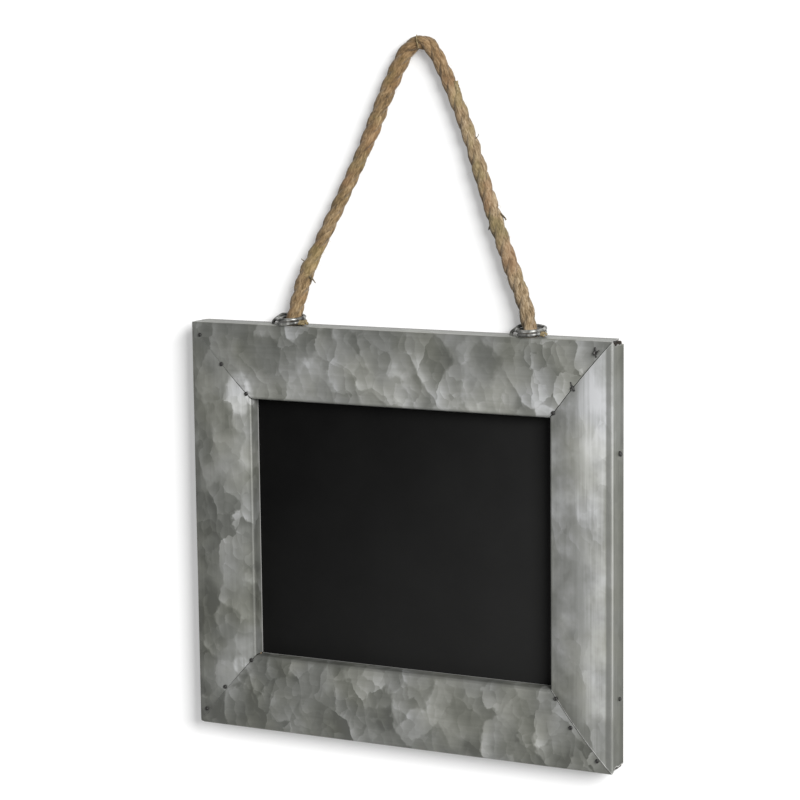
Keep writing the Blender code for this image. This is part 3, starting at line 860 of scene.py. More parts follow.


# %% [markdown]
# Spangles of two sizes are mixed, and here and there they blur. The rest of the zinc follows the sheet
# itself. Each sheet brings an attribute named unrolled: the place along the member, the girth from the
# back edge round to the panel, and what is left of that girth. So the side wall and the narrow strip
# beside the front bend get painted shade, and the front bend gets a broken painted highlight. The outer
# part of the right stile's face gets a painted highlight, and it and the lighter patches are streaked
# along the member. The hue drifts a little between warm and cool.

# %% Zinc crystals
LARGE_SPANGLE, SMALL_SPANGLE, LARGE_SHARE, SMALL_SHARE = 0.0135, 0.0056, 0.70, 0.30
ZINC_MIDDLE, ZINC_LEVEL, WALL_CONTRAST, MORE_ON_FACE = 0.430, 0.46, 0.40, 0.48


def crystal_level(coords, girth, soft, softness):
    """Brightness of the spangles, blurred in places, with more contrast on the face than on the wall."""
    large = spangles(stretched(coords, (1.0, 1.0, 0.78)), LARGE_SPANGLE, 1.3)
    small = spangles(stretched(coords, (1.0, 1.0, 0.8), (0.4, 0.2, 0.9)), SMALL_SPANGLE, 1.1)
    blur = fade(grain(shifted(coords, 0.7, 0.1, 0.3), 38.0), 0.38, 0.60)
    blur = calc("MINIMUM", blur * 0.50 + softness, 0.9)
    level = (large * LARGE_SHARE + small * SMALL_SHARE) * (1.0 - blur) + soft * blur
    level = level + (grain(coords, 24.0, 1.0) * 0.5 - 0.25)
    contrast = fade(girth, 0.0140, 0.0155) * MORE_ON_FACE + WALL_CONTRAST
    return (level - ZINC_MIDDLE) * contrast + ZINC_LEVEL


# %% Zinc highlight and patches
# x and z of each lighter patch, its reach both ways in metres, and how much lighter it is
LEFT_PATCHES = ((-0.1097, -0.1870, 0.0085, 0.0135, 0.34), (-0.1120, -0.3420, 0.0050, 0.0060, 0.18))
RIGHT_PATCHES = ((0.1015, -0.1850, 0.0080, 0.0280, 0.12), (0.1000, -0.2330, 0.0080, 0.0140, 0.10))
TO_UPPER_RIGHT = (0.70, 0.0, 1.0)


def highlight_level(level, room, girth, soft, streaks, painted_highlight, patches):
    """Adds a painted highlight over a span of girth, given with its lift, streaked along the member, and
    lighter patches.
    """
    start, end, lift = painted_highlight
    ragged = girth + (soft * 0.030 - 0.015)
    # painted highlight: a lighter band over part of the face, with a ragged inner border
    highlight_span = fade(girth, start, start + 0.0012) * fade(ragged, end - 0.012, end, 1.0, 0.0)
    brushed = highlight_span * 0.20 + 0.14 + fade(girth, 0.0125, 0.0140, 0.22, 0.0)
    level = highlight_span * lift + level
    for x, z, across, along, patch_lift in patches:
        away = stretched(room, (1.0 / across, 0.0, 1.0 / along), (-x / across, 0.0, -z / along))
        patch = fade(vector("LENGTH", away) + (soft * 0.9 - 0.45), 0.6, 1.1, 1.0, 0.0)
        level = patch * patch_lift + level
        brushed = patch * 0.25 + brushed
    return (streaks - 0.5) * brushed + level


def lit_level(level, room, girth, inner):
    """Slow changes of light over the frame. Inner is what the face gains towards the panel."""
    height = split(room)[2]
    # what each change follows, from where to where, and what it adds at both ends
    for value, *reach in (
        (girth, 0.0180, 0.0500, -0.045, inner),
        (girth, 0.0, 0.011, -0.16, 0.0),
        (height, -0.23, -0.188, 0.0, 0.035),
        (height, -0.186, -0.156, 0.0, -0.08),
        (vector("DOT_PRODUCT", room, TO_UPPER_RIGHT), -0.44, -0.09, -0.125, 0.12),
    ):
        level = level + fade(value, *reach)
    return level


# %% Zinc colours and lines
ZINC_SHADES = (
    (0.10, (0.076, 0.078, 0.068)),
    (0.36, (0.146, 0.149, 0.133)),
    (0.58, (0.240, 0.243, 0.227)),
    (1.0, (0.52, 0.525, 0.52)),
)
WARM_ZINC, COOL_ZINC = (1.008, 1.006, 0.972), (0.992, 0.996, 1.024)
# painted shade for the side wall, the top face, the strip and the crest, a painted highlight for the front
# bend, and the light steel of the cut edges
WALL_SHADE, TOP_SHADE = (0.605, 0.61, 0.575), (0.80, 0.80, 0.78)
PAINTED_STRIP_SHADE, CREST_SHADE = (0.10, 0.102, 0.095), (0.10, 0.102, 0.093)
BEND_HIGHLIGHT, CUT_TONE = (0.52, 0.52, 0.50), (0.56, 0.56, 0.54)


def band(value, rise, full, fall, end):
    """One between full and fall, and softly down to zero at both sides."""
    return fade(value, rise, full) * fade(value, fall, end, 1.0, 0.0)


def lined(colour, room, sheet, streaks, strip_shade, mitre_light):
    """Paints shade on the side wall, the top face, the strip and the crest, a painted highlight along the
    front bend, and light lines along the cut edges.
    """
    tree = room.socket.id_data
    height = split(room)[2]
    _, girth, to_panel = split(sheet)
    to_mitre = put("ShaderNodeAttribute", tree=tree, output="Fac", attribute_name="to_mitre")
    # painted shade on the narrow strip beside the front bend
    strip = band(girth, 0.0146, 0.0150, 0.0174, 0.0180) * strip_shade
    # painted highlight along the front bend, broken by the streaks
    bend_highlight = band(girth, 0.0132, 0.0139, 0.0142, 0.0149) * fade(streaks, 0.32, 0.60, 0.04, 0.40)
    # painted shade on the side wall
    side_wall_shade = fade(girth, 0.0125, 0.0138, 1.0, 0.0)
    # painted shade on the top face
    top_face_shade = fade(height, -0.1493, -0.1488)
    # painted shade over the crest, which dims its highlight
    crest = band(to_panel, 0.0060, 0.0068, 0.0084, 0.0092) * 0.45
    low_end = fade(height, -0.34, -0.32, mitre_light, mitre_light * 0.2)
    mitre_line = low_end * fade(to_mitre, 0.0002, 0.0008, 1.0, 0.0) * fade(streaks, 0.35, 0.55, 0.4, 1.0)
    cut_line = calc("MAXIMUM", fade(to_panel, 0.0005, 0.0011, 0.7, 0.0), mitre_line)
    for factor, tone, mode in (
        (strip, PAINTED_STRIP_SHADE, "MIX"),
        (bend_highlight, BEND_HIGHLIGHT, "MIX"),
        (side_wall_shade, WALL_SHADE, "MULTIPLY"),
        (top_face_shade, TOP_SHADE, "MULTIPLY"),
        (crest, CREST_SHADE, "MIX"),
        (cut_line, CUT_TONE, "MIX"),
    ):
        colour = tint(factor, colour, tone, mode)
    return colour


# %% [markdown]
# The top and bottom rails share one finish. The left stile is a little softer, and painted light makes it
# lighter towards the panel. On the right stile the spangles are blurred most, the outer part of the face
# gets a painted highlight, the strip beside it gets painted shade, and the cut edges at its mitres are
# bright, most of all at the bottom.


# %% Zinc finishes
def zinc_finish(
    name,
    inner,
    softness=0.0,
    shift=(0.0, 0.0, 0.0),
    painted_highlight=(0.0145, 0.0180, 0.0),
    strip_shade=0.15,
    mitre_light=0.0,
    patches=LEFT_PATCHES,
):
    """Spangled zinc, with lighter patches, its painted light and shade, and its lines."""
    shader, room, mat = finish_of(name, Metallic=0.5)
    coords = shifted(room, *shift)
    sheet = put("ShaderNodeAttribute", tree=shader.id_data, output="Vector", attribute_name="unrolled")
    girth = split(sheet)[1]
    soft = grain(coords, 62.0, 3.0, 0.55)
    streaks = grain(stretched(sheet, (14.0, 470.0, 1.0)), 1.0, 3.0, 0.65)
    level = crystal_level(coords, girth, soft, softness)
    level = highlight_level(level, room, girth, soft, streaks, painted_highlight, patches)
    level = lit_level(level, room, girth, inner)
    hue = ramp(grain(shifted(coords, 0.5, 0.9, 0.4), 30.0), (0.40, WARM_ZINC), (0.60, COOL_ZINC))
    colour = tint(1.0, ramp(level, *ZINC_SHADES), hue, "MULTIPLY")
    colour = lined(colour, room, sheet, streaks, strip_shade, mitre_light)
    feed(shader, Base_Color=colour, Roughness=level * -0.2 + 0.56)
    bump(shader, level * 0.4 + grain(coords, 900.0) * 0.12, 0.18, 0.0004)
    return mat


zinc = zinc_finish("zinc_sheet", 0.045)
zinc_left = zinc_finish("zinc_sheet_left", 0.12, softness=0.14)
# the outer part of the right stile's face gets a painted highlight
right_side = {"softness": 0.50, "shift": (0.31, 0.0, 0.17), "painted_highlight": (0.0176, 0.0370, 0.20)}
right_side |= {"strip_shade": 0.72, "mitre_light": 0.7, "patches": RIGHT_PATCHES}
zinc_right = zinc_finish("zinc_sheet_right", -0.075, **right_side)
CUT_STEEL = ((0.3, (0.20, 0.20, 0.19)), (0.7, (0.44, 0.44, 0.43)))
raw_edge = speckled("raw_edge", 1400.0, 2.0, CUT_STEEL, Metallic=0.8, Roughness=0.4)
print("zinc nodes:", len(zinc.node_tree.nodes))

# %% [markdown]
# ## Four bent sheets
#
# Each member of the frame is one strip of sheet, folded over a wooden bar: a side wall, a narrow strip
# along the front edge, a broad bulging face and a soft roll down to the panel. The rule is one line, the
# sheet's section, run along the member with mitred ends. Geometry Nodes do just that: a grid takes each
# row of its points from the section, and the ends are cut back by the distance from the outer edge.

# %% Section of the sheet
BOARD_WIDTH, BOARD_HEIGHT = 0.254, 0.229
RAIL_WIDTH, STILE_WIDTH = 0.042, 0.0365
CENTRE_X, FRONT_Y, TOP_Z = -0.01275, -0.0105, -0.1486
CENTRE_Z = TOP_Z - BOARD_HEIGHT / 2
FRAME_DEPTH, PANEL_RECESS, SHEET = 0.0148, 0.0097, 0.0008
EDGE_RADIUS, STRIP_WIDTH, STRIP_RISE = 0.0011, 0.0042, 0.001
FACE_BULGE, CREST_RADIUS, CREST_DROP = 0.0018, 0.0022, 0.0016
WALL_STEPS, EDGE_STEPS, FACE_STEPS, ROLL_STEPS = 6, 6, 24, 8


def bend(start, corner, end, steps):
    """Points along a soft bend from start to end, pulled towards the corner."""
    points = []
    for i in range(steps + 1):
        s = i / steps
        a, b, c = (1 - s) ** 2, 2 * s * (1 - s), s**2
        points.append(tuple(a * p + b * q + c * r for p, q, r in zip(start, corner, end)))
    return points


def face_depth(share):
    """Depth of the broad face behind the front edge, at a share of the member's width."""
    start = STRIP_WIDTH / RAIL_WIDTH
    end = 1 - CREST_RADIUS / RAIL_WIDTH
    if share < start:
        return -STRIP_RISE * share / start
    s = min((share - start) / (end - start), 1.0)
    return -STRIP_RISE + (STRIP_RISE + CREST_DROP) * s - 4 * FACE_BULGE * s * (1 - s)


def sheet_section(width):
    """The sheet's outside, as (distance in, depth) pairs, from the back of the side wall inwards."""
    scale = width / RAIL_WIDTH
    crest, strip = width - CREST_RADIUS * scale, STRIP_WIDTH * scale
    rise = STRIP_RISE * (EDGE_RADIUS / STRIP_WIDTH)
    line = [(0.0, FRAME_DEPTH - (FRAME_DEPTH - EDGE_RADIUS) * i / WALL_STEPS) for i in range(WALL_STEPS)]
    line += bend((0.0, EDGE_RADIUS), (0.0, 0.0), (EDGE_RADIUS * scale, -rise), EDGE_STEPS)
    line += [(strip * t, face_depth(strip * t / width)) for t in (0.55, 0.85)]
    for i in range(FACE_STEPS + 1):
        across = strip + (crest - strip) * i / FACE_STEPS
        line.append((across, face_depth(across / width)))
    line += bend(line.pop(), (width, CREST_DROP), (width, CREST_DROP + CREST_RADIUS), ROLL_STEPS)
    return line + [(width, CREST_DROP + CREST_RADIUS + t) for t in (0.002, 0.004)] + [(width, PANEL_RECESS)]


def section_object(width):
    """The section as a chain of edges, each point's length along the sheet kept as its height."""
    line = sheet_section(width)
    reached = [0.0]
    for a, b in zip(line, line[1:]):
        reached.append(reached[-1] + math.dist(a, b))
    points = [(across, depth, so_far) for (across, depth), so_far in zip(line, reached)]
    edges = [(i, i + 1) for i in range(len(points) - 1)]
    return made("section", points, edges=edges), len(points), reached[-1]


print("points in a rail's section:", len(sheet_section(RAIL_WIDTH)))


# %% Tree for a mitred sheet
def joined(*parts):
    """A vector from its three parts."""
    return put("ShaderNodeCombineXYZ", dict(enumerate(parts)))


def sheet_tree():
    """Runs a section along a member and cuts its ends back to the mitres."""
    sizes = ("Length", "Width", "Mitre slope", "Inner gap", "Wave height", "Wave size", "Girth", "Seed")
    sizes += ("Low outer gap", "High outer gap", "Low wall gap", "High wall gap")
    tree, given = growing_tree("mitred_sheet", Int=("Section points", "Steps"), Float=sizes)
    counts = {"Vertices X": given["Steps"], "Vertices Y": given["Section points"]}
    grid = put("GeometryNodeMeshGrid", {"Size X": 2.0, "Size Y": 1.0, **counts})
    position = put("GeometryNodeInputPosition", tree=tree)
    row = calc("MODULO", put("GeometryNodeInputIndex", tree=tree), given["Section points"])
    taken = {"Geometry": given["Geometry"], "Value": position, "Index": row}
    taken = put("GeometryNodeSampleIndex", taken, data_type="FLOAT_VECTOR", domain="POINT")
    across, depth, girth = split(taken)
    share = split(position)[0] * -1.0
    high = calc("GREATER_THAN", share, 0.0)
    low = 1.0 - high

    def chosen(label):
        """The low end's value at the low end and the high end's at the high one."""
        return given["High " + label] * high + given["Low " + label] * low

    # how far each point of an end stays back from the mitre, with a slightly ragged cut
    inward = calc("POWER", calc("DIVIDE", across, given["Width"]), 2.0)
    gap = (given["Inner gap"] - chosen("outer gap")) * inward + chosen("outer gap")
    wall_part = fade(depth, 0.0010, 0.0030) * fade(across, 0.0002, 0.0008, 1.0, 0.0)
    gap = chosen("wall gap") * wall_part + gap
    gap = gap * (grain(joined(girth * 260.0, high, given["Seed"]), 1.0, 1.0) * 1.6 + 0.2)
    half = calc("DIVIDE", given["Length"], 2.0) - gap - across * given["Mitre slope"]
    along = share * half

    # thin sheet is never quite flat, and its waves fade out down the side walls
    spot = joined(across, along, given["Seed"])
    wave = grain(spot, calc("DIVIDE", 1.0, given["Wave size"]), 1.0) - 0.5
    lift = wave * (given["Wave height"] * fade(depth, 0.0, 0.009, 1.0, 0.0))
    moved = joined(across, depth + lift, along)
    kept = {"Geometry": grid, "Name": "unrolled", "Value": joined(along, girth, given["Girth"] - girth)}
    kept = put("GeometryNodeStoreNamedAttribute", kept, data_type="FLOAT_VECTOR", domain="POINT")
    kept = {"Geometry": kept, "Name": "to_mitre", "Value": half - calc("ABSOLUTE", along)}
    kept = put("GeometryNodeStoreNamedAttribute", kept, data_type="FLOAT", domain="POINT")
    end_tree(put("GeometryNodeSetPosition", {"Geometry": kept, "Position": moved}), given["Material"])
    return tree


bent_sheet = sheet_tree()
print("sheet tree:", len(bent_sheet.nodes), "nodes")

# %% [markdown]
# The right corners stand a little open, and the side walls stop short of them, so the joints there are
# dark lines with a bright cut edge beside them. The left corners are pressed tight at the outside. The
# sheet gets its thickness from Solidify, whose rim takes the material of a raw cut edge.

# %% Members of the frame
TIGHT, OPEN, SHORT_WALL, SHORTER_WALL = 0.00002, 0.00025, 0.0003, 0.0024
# name: turn, place of the outer edge, outer gaps and wall gaps at the low and high end, seed
MEMBERS = {
    "left": (0, (-BOARD_WIDTH / 2, 0.0), (TIGHT, TIGHT), (SHORT_WALL, SHORT_WALL), 1.0),
    "top": (90, (0.0, BOARD_HEIGHT / 2), (TIGHT, OPEN), (SHORT_WALL, SHORTER_WALL), 2.0),
    "right": (180, (BOARD_WIDTH / 2, 0.0), (OPEN, OPEN), (SHORTER_WALL, SHORTER_WALL), 3.0),
    "bottom": (-90, (0.0, -BOARD_HEIGHT / 2), (OPEN, TIGHT), (SHORTER_WALL, SHORT_WALL), 4.0),
}
ZINCS = {"left": zinc_left, "right": zinc_right}
# the side and height of each corner, from the middle, and its radius
CORNER_ROUNDING = {(-1, -1): 0.0024, (-1, 1): 0.0009, (1, -1): 0.0008, (1, 1): 0.0008}


def soften_corners(mesh):
    """Rounds the frame's four outer corners, seen from the front."""
    for vertex in mesh.vertices:
        for (side_x, side_z), radius in CORNER_ROUNDING.items():
            x = CENTRE_X + side_x * (BOARD_WIDTH / 2 - radius)
            z = CENTRE_Z + side_z * (BOARD_HEIGHT / 2 - radius)
            middle = Vector((x, z))
            away = Vector((vertex.co.x, vertex.co.z)) - middle
            if away.x * side_x > 0 and away.y * side_z > 0 and away.length > radius:
                away *= radius / away.length
                vertex.co.x, vertex.co.z = middle.x + away.x, middle.y + away.y


# %% Grow the sheets
def grow_sheet(name):
    """One member's sheet, grown, placed and given its thickness."""
    turn, (x, z), outer, walls, seed = MEMBERS[name]
    stile = name in ("left", "right")
    width, length = (STILE_WIDTH, BOARD_HEIGHT) if stile else (RAIL_WIDTH, BOARD_WIDTH)
    obj, count, girth = section_object(width)
    obj.name = "bent_sheet_" + name
    values = {
        "Section points": count,
        "Steps": 121,
        "Length": length,
        "Width": width,
        "Mitre slope": RAIL_WIDTH / STILE_WIDTH if stile else STILE_WIDTH / RAIL_WIDTH,
        "Low outer gap": outer[0],
        "High outer gap": outer[1],
        "Inner gap": 0.00034 if name in ("left", "top") else 0.00024,
        "Low wall gap": walls[0],
        "High wall gap": walls[1],
        "Wave height": 0.0003,
        "Wave size": 0.035,
        "Girth": girth,
        "Seed": seed,
        "Material": ZINCS.get(name, zinc),
    }
    grow(obj, bent_sheet, values)
    obj.data.transform(Matrix.Translation((CENTRE_X + x, FRONT_Y, CENTRE_Z + z)) @ turned_by(turn, "Y"))
    soften_corners(obj.data)
    obj.data.materials.append(raw_edge)
    solid = obj.modifiers.new("thickness", "SOLIDIFY")
    solid.thickness, solid.offset = SHEET, -1.0
    solid.use_even_offset = True
    solid.material_offset_rim = 1
    plain_mesh(obj)
    return obj


sheets = {name: grow_sheet(name) for name in MEMBERS}
for name, sheet in sheets.items():
    low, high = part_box("sheet_" + name)
    print(name, in_mm(sheet.dimensions), "mm, CAD", in_mm(high - low), len(sheet.data.polygons), "faces")


# %% Holes for the rope
def drill(obj, places, radius):
    """Cuts round upright holes in an object at these places, and keeps its unrolled coordinates."""
    before = kdtree.KDTree(len(obj.data.vertices))
    for vertex in obj.data.vertices:
        before.insert(vertex.co, vertex.index)
    before.balance()
    values = [item.vector.copy() for item in obj.data.attributes["unrolled"].data]
    bm = bmesh.new()
    ends = {"radius1": radius, "radius2": radius, "depth": 0.006, "segments": 48, "cap_ends": True}
    for place in places:
        bmesh.ops.create_cone(bm, matrix=Matrix.Translation((place.x, place.y, TOP_Z)), **ends)
    tool = from_bmesh("drill", bm)
    cut = obj.modifiers.new("holes", "BOOLEAN")
    cut.operation, cut.object = "DIFFERENCE", tool
    plain_mesh(obj)
    bpy.data.objects.remove(tool)
    mesh = obj.data
    unrolled = mesh.attributes.get("unrolled") or mesh.attributes.new("unrolled", "FLOAT_VECTOR", "POINT")
    for vertex, item in zip(mesh.vertices, unrolled.data):
        item.vector = values[before.find(vertex.co)[1]]


def smooth(obj, degrees):
    """Smooth shading that breaks at edges sharper than this."""
    obj.data.shade_smooth()
    obj.data.set_sharp_from_angle(angle=math.radians(degrees))


HOLE_DIAMETER = 0.0104
drill(sheets["top"], (LEFT_HOLE, RIGHT_HOLE), HOLE_DIAMETER / 2)
for name, sheet in sheets.items():
    smooth(sheet, 35)
    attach(sheet, "board")
    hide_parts("sheet_" + name)
print("top sheet after drilling:", len(sheets["top"].data.polygons), "faces")

# %% [markdown]
# ## Wire eyes
#
# Each leg of the rope goes through a ring of galvanised wire, a screw eye bent over until its ring lies
# almost flat on the frame. The wire comes out of the wood at the left, slants up, and winds down round
# the rope nearly twice, clockwise as seen from above. It is weathered to a dull grey with dark patches.

# %% Route of the wire
EYE_DIAMETER, EYE_WIRE, EYE_LIFT, EYE_TURN_GAP = 0.0169, 0.0018, 0.0006, 0.0001
EYE_LEAN, EYE_START, EYE_TURN = math.radians(2.5), math.radians(115.0), math.radians(600.0)
EYE_TAIL, EYE_TAIL_LEVEL, EYE_BEND, EYE_SHANK, EYE_FORWARD = 0.0105, 0.0056, 0.0013, 0.011, 0.0013
RING_STEPS, BEND_STEPS, WIRE_AROUND = 120, 6, 16


def eye_route():
    """Middle line of the wire, with the sheet at zero and the ring's middle over the origin."""
    radius = (EYE_DIAMETER - EYE_WIRE) / 2
    ring = []
    for i in range(RING_STEPS + 1):
        left = EYE_TURN * (1.0 - i / RING_STEPS)
        angle = EYE_START - EYE_TURN + left
        x, y = radius * math.cos(angle), radius * math.sin(angle)
        lift = y * math.tan(EYE_LEAN) + (EYE_WIRE + EYE_TURN_GAP) * left / math.tau
        ring.append(Vector((x, y, EYE_LIFT + EYE_WIRE / 2 + lift)))
    heading = Vector((math.sin(EYE_START), -math.cos(EYE_START), 0.0))
    shoulder = ring[0] - heading * EYE_TAIL_LEVEL
    foot = ring[0] - heading * EYE_TAIL
    foot.z = 0.0
    corner = foot + Vector((0.0, 0.0, EYE_BEND))
    rise = (shoulder - corner).normalized()
    neck = bend(foot, corner, corner + rise * EYE_BEND, BEND_STEPS)
    neck += bend(shoulder - rise * EYE_BEND, shoulder, shoulder + heading * EYE_BEND, BEND_STEPS)
    shank = [foot - Vector((0.0, 0.0, EYE_SHANK * t)) for t in (1.0, 0.75, 0.5, 0.25)]
    return shank + [Vector(p) for p in neck] + ring


# %% Eyes
WIRE_SHADES = ((0.36, (0.035, 0.035, 0.032)), (0.5, (0.13, 0.13, 0.122)), (0.68, (0.34, 0.34, 0.32)))
weathered = {"rough": (0.5, 0.3), "relief": (1500.0, 2.0, 0.2, 0.0001)}
galvanised_wire = speckled("zinc_wire", 320.0, 3.0, WIRE_SHADES, Metallic=0.55, **weathered)
for side, hole, shift in (("left", LEFT_HOLE, 0.0003), ("right", RIGHT_HOLE, 0.0008)):
    centre = Vector((hole.x + shift, hole.y - EYE_FORWARD, TOP_Z))
    route = [centre + p for p in eye_route()]
    verts, faces = [], []
    tube_skin(verts, faces, tube_rings(route, [EYE_WIRE / 2] * len(route), WIRE_AROUND))
    eye = made("wire_eye_" + side, verts, faces, galvanised_wire)
    smooth(eye, 50)
    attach(eye, "board")
    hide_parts("eye_" + side)
    print("eye", side, in_mm(eye.dimensions), "mm")

# %% [markdown]
# ## Brads
#
# Small dark brads hold the sheets to the wood, three along each mitre and two in each side wall. They
# are all alike, so one brad is turned from its outline and Geometry Nodes set it at every place, a
# little tilted, as a hand-driven nail is. Three went in askew: they lean more and look a little larger.
# At two of these, short uneven dark tubes beside the head stand for bent steel and also for the shade it
# casts on the sheet.


# %% Brad helpers
def turned(name, profile, around):
    """A shape turned round the Z axis from its (radius, height) outline, closed at both ends."""
    bm = bmesh.new()
    points = [bm.verts.new((r, 0.0, z)) for r, z in profile]
    edges = [bm.edges.new(pair) for pair in zip(points, points[1:])]
    axis = {"axis": (0, 0, 1), "cent": (0, 0, 0), "angle": math.tau}
    bmesh.ops.spin(bm, geom=points + edges, steps=around, use_merge=True, **axis)
    bmesh.ops.remove_doubles(bm, verts=bm.verts, dist=1e-6)
    bmesh.ops.recalc_face_normals(bm, faces=bm.faces)
    obj = from_bmesh(name, bm)
    smooth(obj, 50)
    return obj


def brad_tree():
    """Sets one brad at every point, turned to its outward direction."""
    tree, given = growing_tree("brads", Object=("Shape",), Float=("Most tilt",), Int=("Seed",))
    shake = {0: (-1.0, -1.0, -1.0), 1: (1.0, 1.0, 1.0), "Seed": given["Seed"]}
    shake = put("FunctionNodeRandomValue", shake, data_type="FLOAT_VECTOR")
    lean = vector("ADD", stored(tree, "outward"), scaled(shake, given["Most tilt"]))
    points = put("GeometryNodeMeshToPoints", {"Mesh": given["Geometry"]})
    set_copies(given, points, standing_along(lean), stored(tree, "size", "FLOAT"))
    return tree


# %% Sizes of the brads
HEAD, HEAD_HEIGHT, SHANK, BRAD_LENGTH = 0.0023, 0.0007, 0.0011, 0.008
OUTLINE = (
    (0.0, 0.00052),
    (HEAD * 0.22, 0.00055),
    (HEAD * 0.34, HEAD_HEIGHT),
    (HEAD * 0.44, 0.00055),
    (HEAD * 0.5, 0.00028),
    (HEAD * 0.49, 0.0),
    (SHANK / 2, 0.0),
    (SHANK / 2, 0.0012 - BRAD_LENGTH),
    (0.0, -BRAD_LENGTH),
)
# some brads went in askew: how much larger each looks, and its lean
BENT_BRADS = {
    "nail_top_right_1": (1.05, (0.45, 0.0, 0.30)),
    "nail_top_right_2": (1.05, (0.40, 0.0, -0.25)),
    "nail_right_1": (1.35, (0.0, 0.1, 0.3)),
}
# bent steel round two of them, which also stands for its painted shade, with its thickness at both ends
BENT_SHANKS_AND_SHADE = (
    (((0.10528, -0.0121, -0.15162), (0.10539, -0.0124, -0.15430), (0.10578, -0.0121, -0.15682)),
     0.0009, 0.0008),
    (((0.10550, -0.0122, -0.15471), (0.10639, -0.0124, -0.15420), (0.10751, -0.0120, -0.15322)),
     0.0012, 0.0006),
    (((0.09135, -0.0119, -0.17050), (0.09237, -0.0122, -0.17290), (0.09355, -0.0119, -0.17513)),
     0.0008, 0.0010),
    (((0.09157, -0.0120, -0.17393), (0.09248, -0.0122, -0.17320), (0.09355, -0.0118, -0.17231)),
     0.0008, 0.0005),
)

# %% Brads
BRAD_SHADES = ((0.35, (0.008, 0.008, 0.008)), (0.6, (0.030, 0.029, 0.027)), (0.8, (0.14, 0.135, 0.13)))
scaly = {"relief": (1100.0, 3.0, 0.4, 0.00015), "Metallic": 0.6, "Roughness": 0.5}
dark_brad = speckled("dark_brad", 1100.0, 3.0, BRAD_SHADES, **scaly)
brad_nodes = sorted(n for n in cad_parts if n.startswith("nail_"))
seats, directions = [], []
for node in brad_nodes:
    low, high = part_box(node)
    seat, direction = (low + high) / 2, Vector()
    axis, way = {"left": (0, -1.0), "right": (0, 1.0)}.get(node.split("_")[1], (1, -1.0))
    seat[axis] = high[axis] - HEAD_HEIGHT if way > 0 else low[axis] + HEAD_HEIGHT
    direction[axis] = way
    seats.append(seat)
    directions.append(direction)
brads = made("brads", seats)
marks = brads.data.attributes
marks.new("outward", "FLOAT_VECTOR", "POINT")
marks.new("size", "FLOAT", "POINT")
for i, (node, direction) in enumerate(zip(brad_nodes, directions)):
    larger, lean = BENT_BRADS.get(node, (1.0, (0.0, 0.0, 0.0)))
    marks["outward"].data[i].vector = direction + Vector(lean)
    marks["size"].data[i].value = larger
brad = turned("brad", OUTLINE, 16)
grow(brads, brad_tree(), {"Shape": brad, "Most tilt": 0.05, "Seed": 5, "Material": dark_brad})
bpy.data.objects.remove(brad)
# dark tubes for the bent steel, which also stand for the shade it casts
bent = loose_ends("bent_shanks", BENT_SHANKS_AND_SHADE, dark_brad)
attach(brads, "board")
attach(bent, "board")
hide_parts(*brad_nodes)
print("brads:", len(brad_nodes), "with", len(brads.data.polygons), "faces")

# %% [markdown]
# ## Chalkboard panel
#
# The panel is thin hardboard with matt black paint on its front. Hardboard is smooth in front and
# bare brown behind, so one material serves both sides: it takes the paint where the face looks forward
# and the fibre where it looks back. A trace of chalk dust makes the paint a little paler towards the
# lower right. A narrow bevel softens the sawn edges.

# %% Panel
BLACK, DUSTY_BLACK = (0.0018, 0.0018, 0.0018), (0.0112, 0.0112, 0.0110)
DARK_FIBRE, PALE_FIBRE = (0.09, 0.052, 0.028), (0.23, 0.145, 0.082)
TO_LOWER_RIGHT = (1.0, 0.0, -1.0)


def facing_wall(shader):
    """How far a face looks towards the wall, from -1 in front to 1 behind."""
    return split(put("ShaderNodeNewGeometry", tree=shader.id_data, output="Normal"))[1]


def panel_finish():
    """Black paint in front, brown hardboard behind."""
    shader, room, mat = finish_of("blackboard", Specular_IOR_Level=0.06)
    back = fade(facing_wall(shader), -0.6, -0.2)
    dust = grain(room, 30.0, 4.0, 0.6) * 0.4 - 0.2
    dusty = fade(vector("DOT_PRODUCT", room, TO_LOWER_RIGHT), 0.08, 0.40) + dust
    fibre = grain(stretched(room, (1.0, 1.0, 1.6)), 420.0, 5.0, 0.7)
    paint = ramp(dusty, (0.0, BLACK), (1.0, DUSTY_BLACK))
    bare = ramp(fibre, (0.3, DARK_FIBRE), (0.7, PALE_FIBRE))
    feed(shader, Base_Color=tint(back, paint, bare), Roughness=fade(back, 0.0, 1.0, 0.62, 0.9))
    bump(shader, grain(room, 1600.0) + fibre * back, 0.12, 0.0002)
    return mat


low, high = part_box("chalkboard_panel")
bm = bmesh.new()
place = Matrix.Translation((low + high) / 2) @ Matrix.Diagonal((*(high - low), 1.0))
bmesh.ops.create_cube(bm, size=1.0, matrix=place)
bmesh.ops.bevel(bm, geom=bm.edges, offset=0.0004, segments=2, affect="EDGES", profile=0.5)
panel = from_bmesh("painted_panel", bm)
panel.data.materials.append(panel_finish())
smooth(panel, 30)
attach(panel, "board")
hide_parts("chalkboard_panel")
print("panel:", in_mm(panel.dimensions), "mm")

# %% [markdown]
# ## Glazier's points
#
# Six flat steel points, driven into the wooden bars behind the panel, hold it in place. Each is a small
# pointed plate. One plate and a tree that turns it towards each bar make all six.

# %% Points
POINT_LENGTH, POINT_WIDTH, POINT_THICKNESS, POINT_BEVEL = 0.0105, 0.006, 0.0007, 0.00009
# shares of the length and the width, from the driven tip round to the free end and back
POINT_OUTLINE = ((-0.5, 0.0), (-0.28, -0.5), (0.42, -0.5), (0.5, -0.32))
POINT_OUTLINE += ((0.5, 0.32), (0.42, 0.5), (-0.28, 0.5))


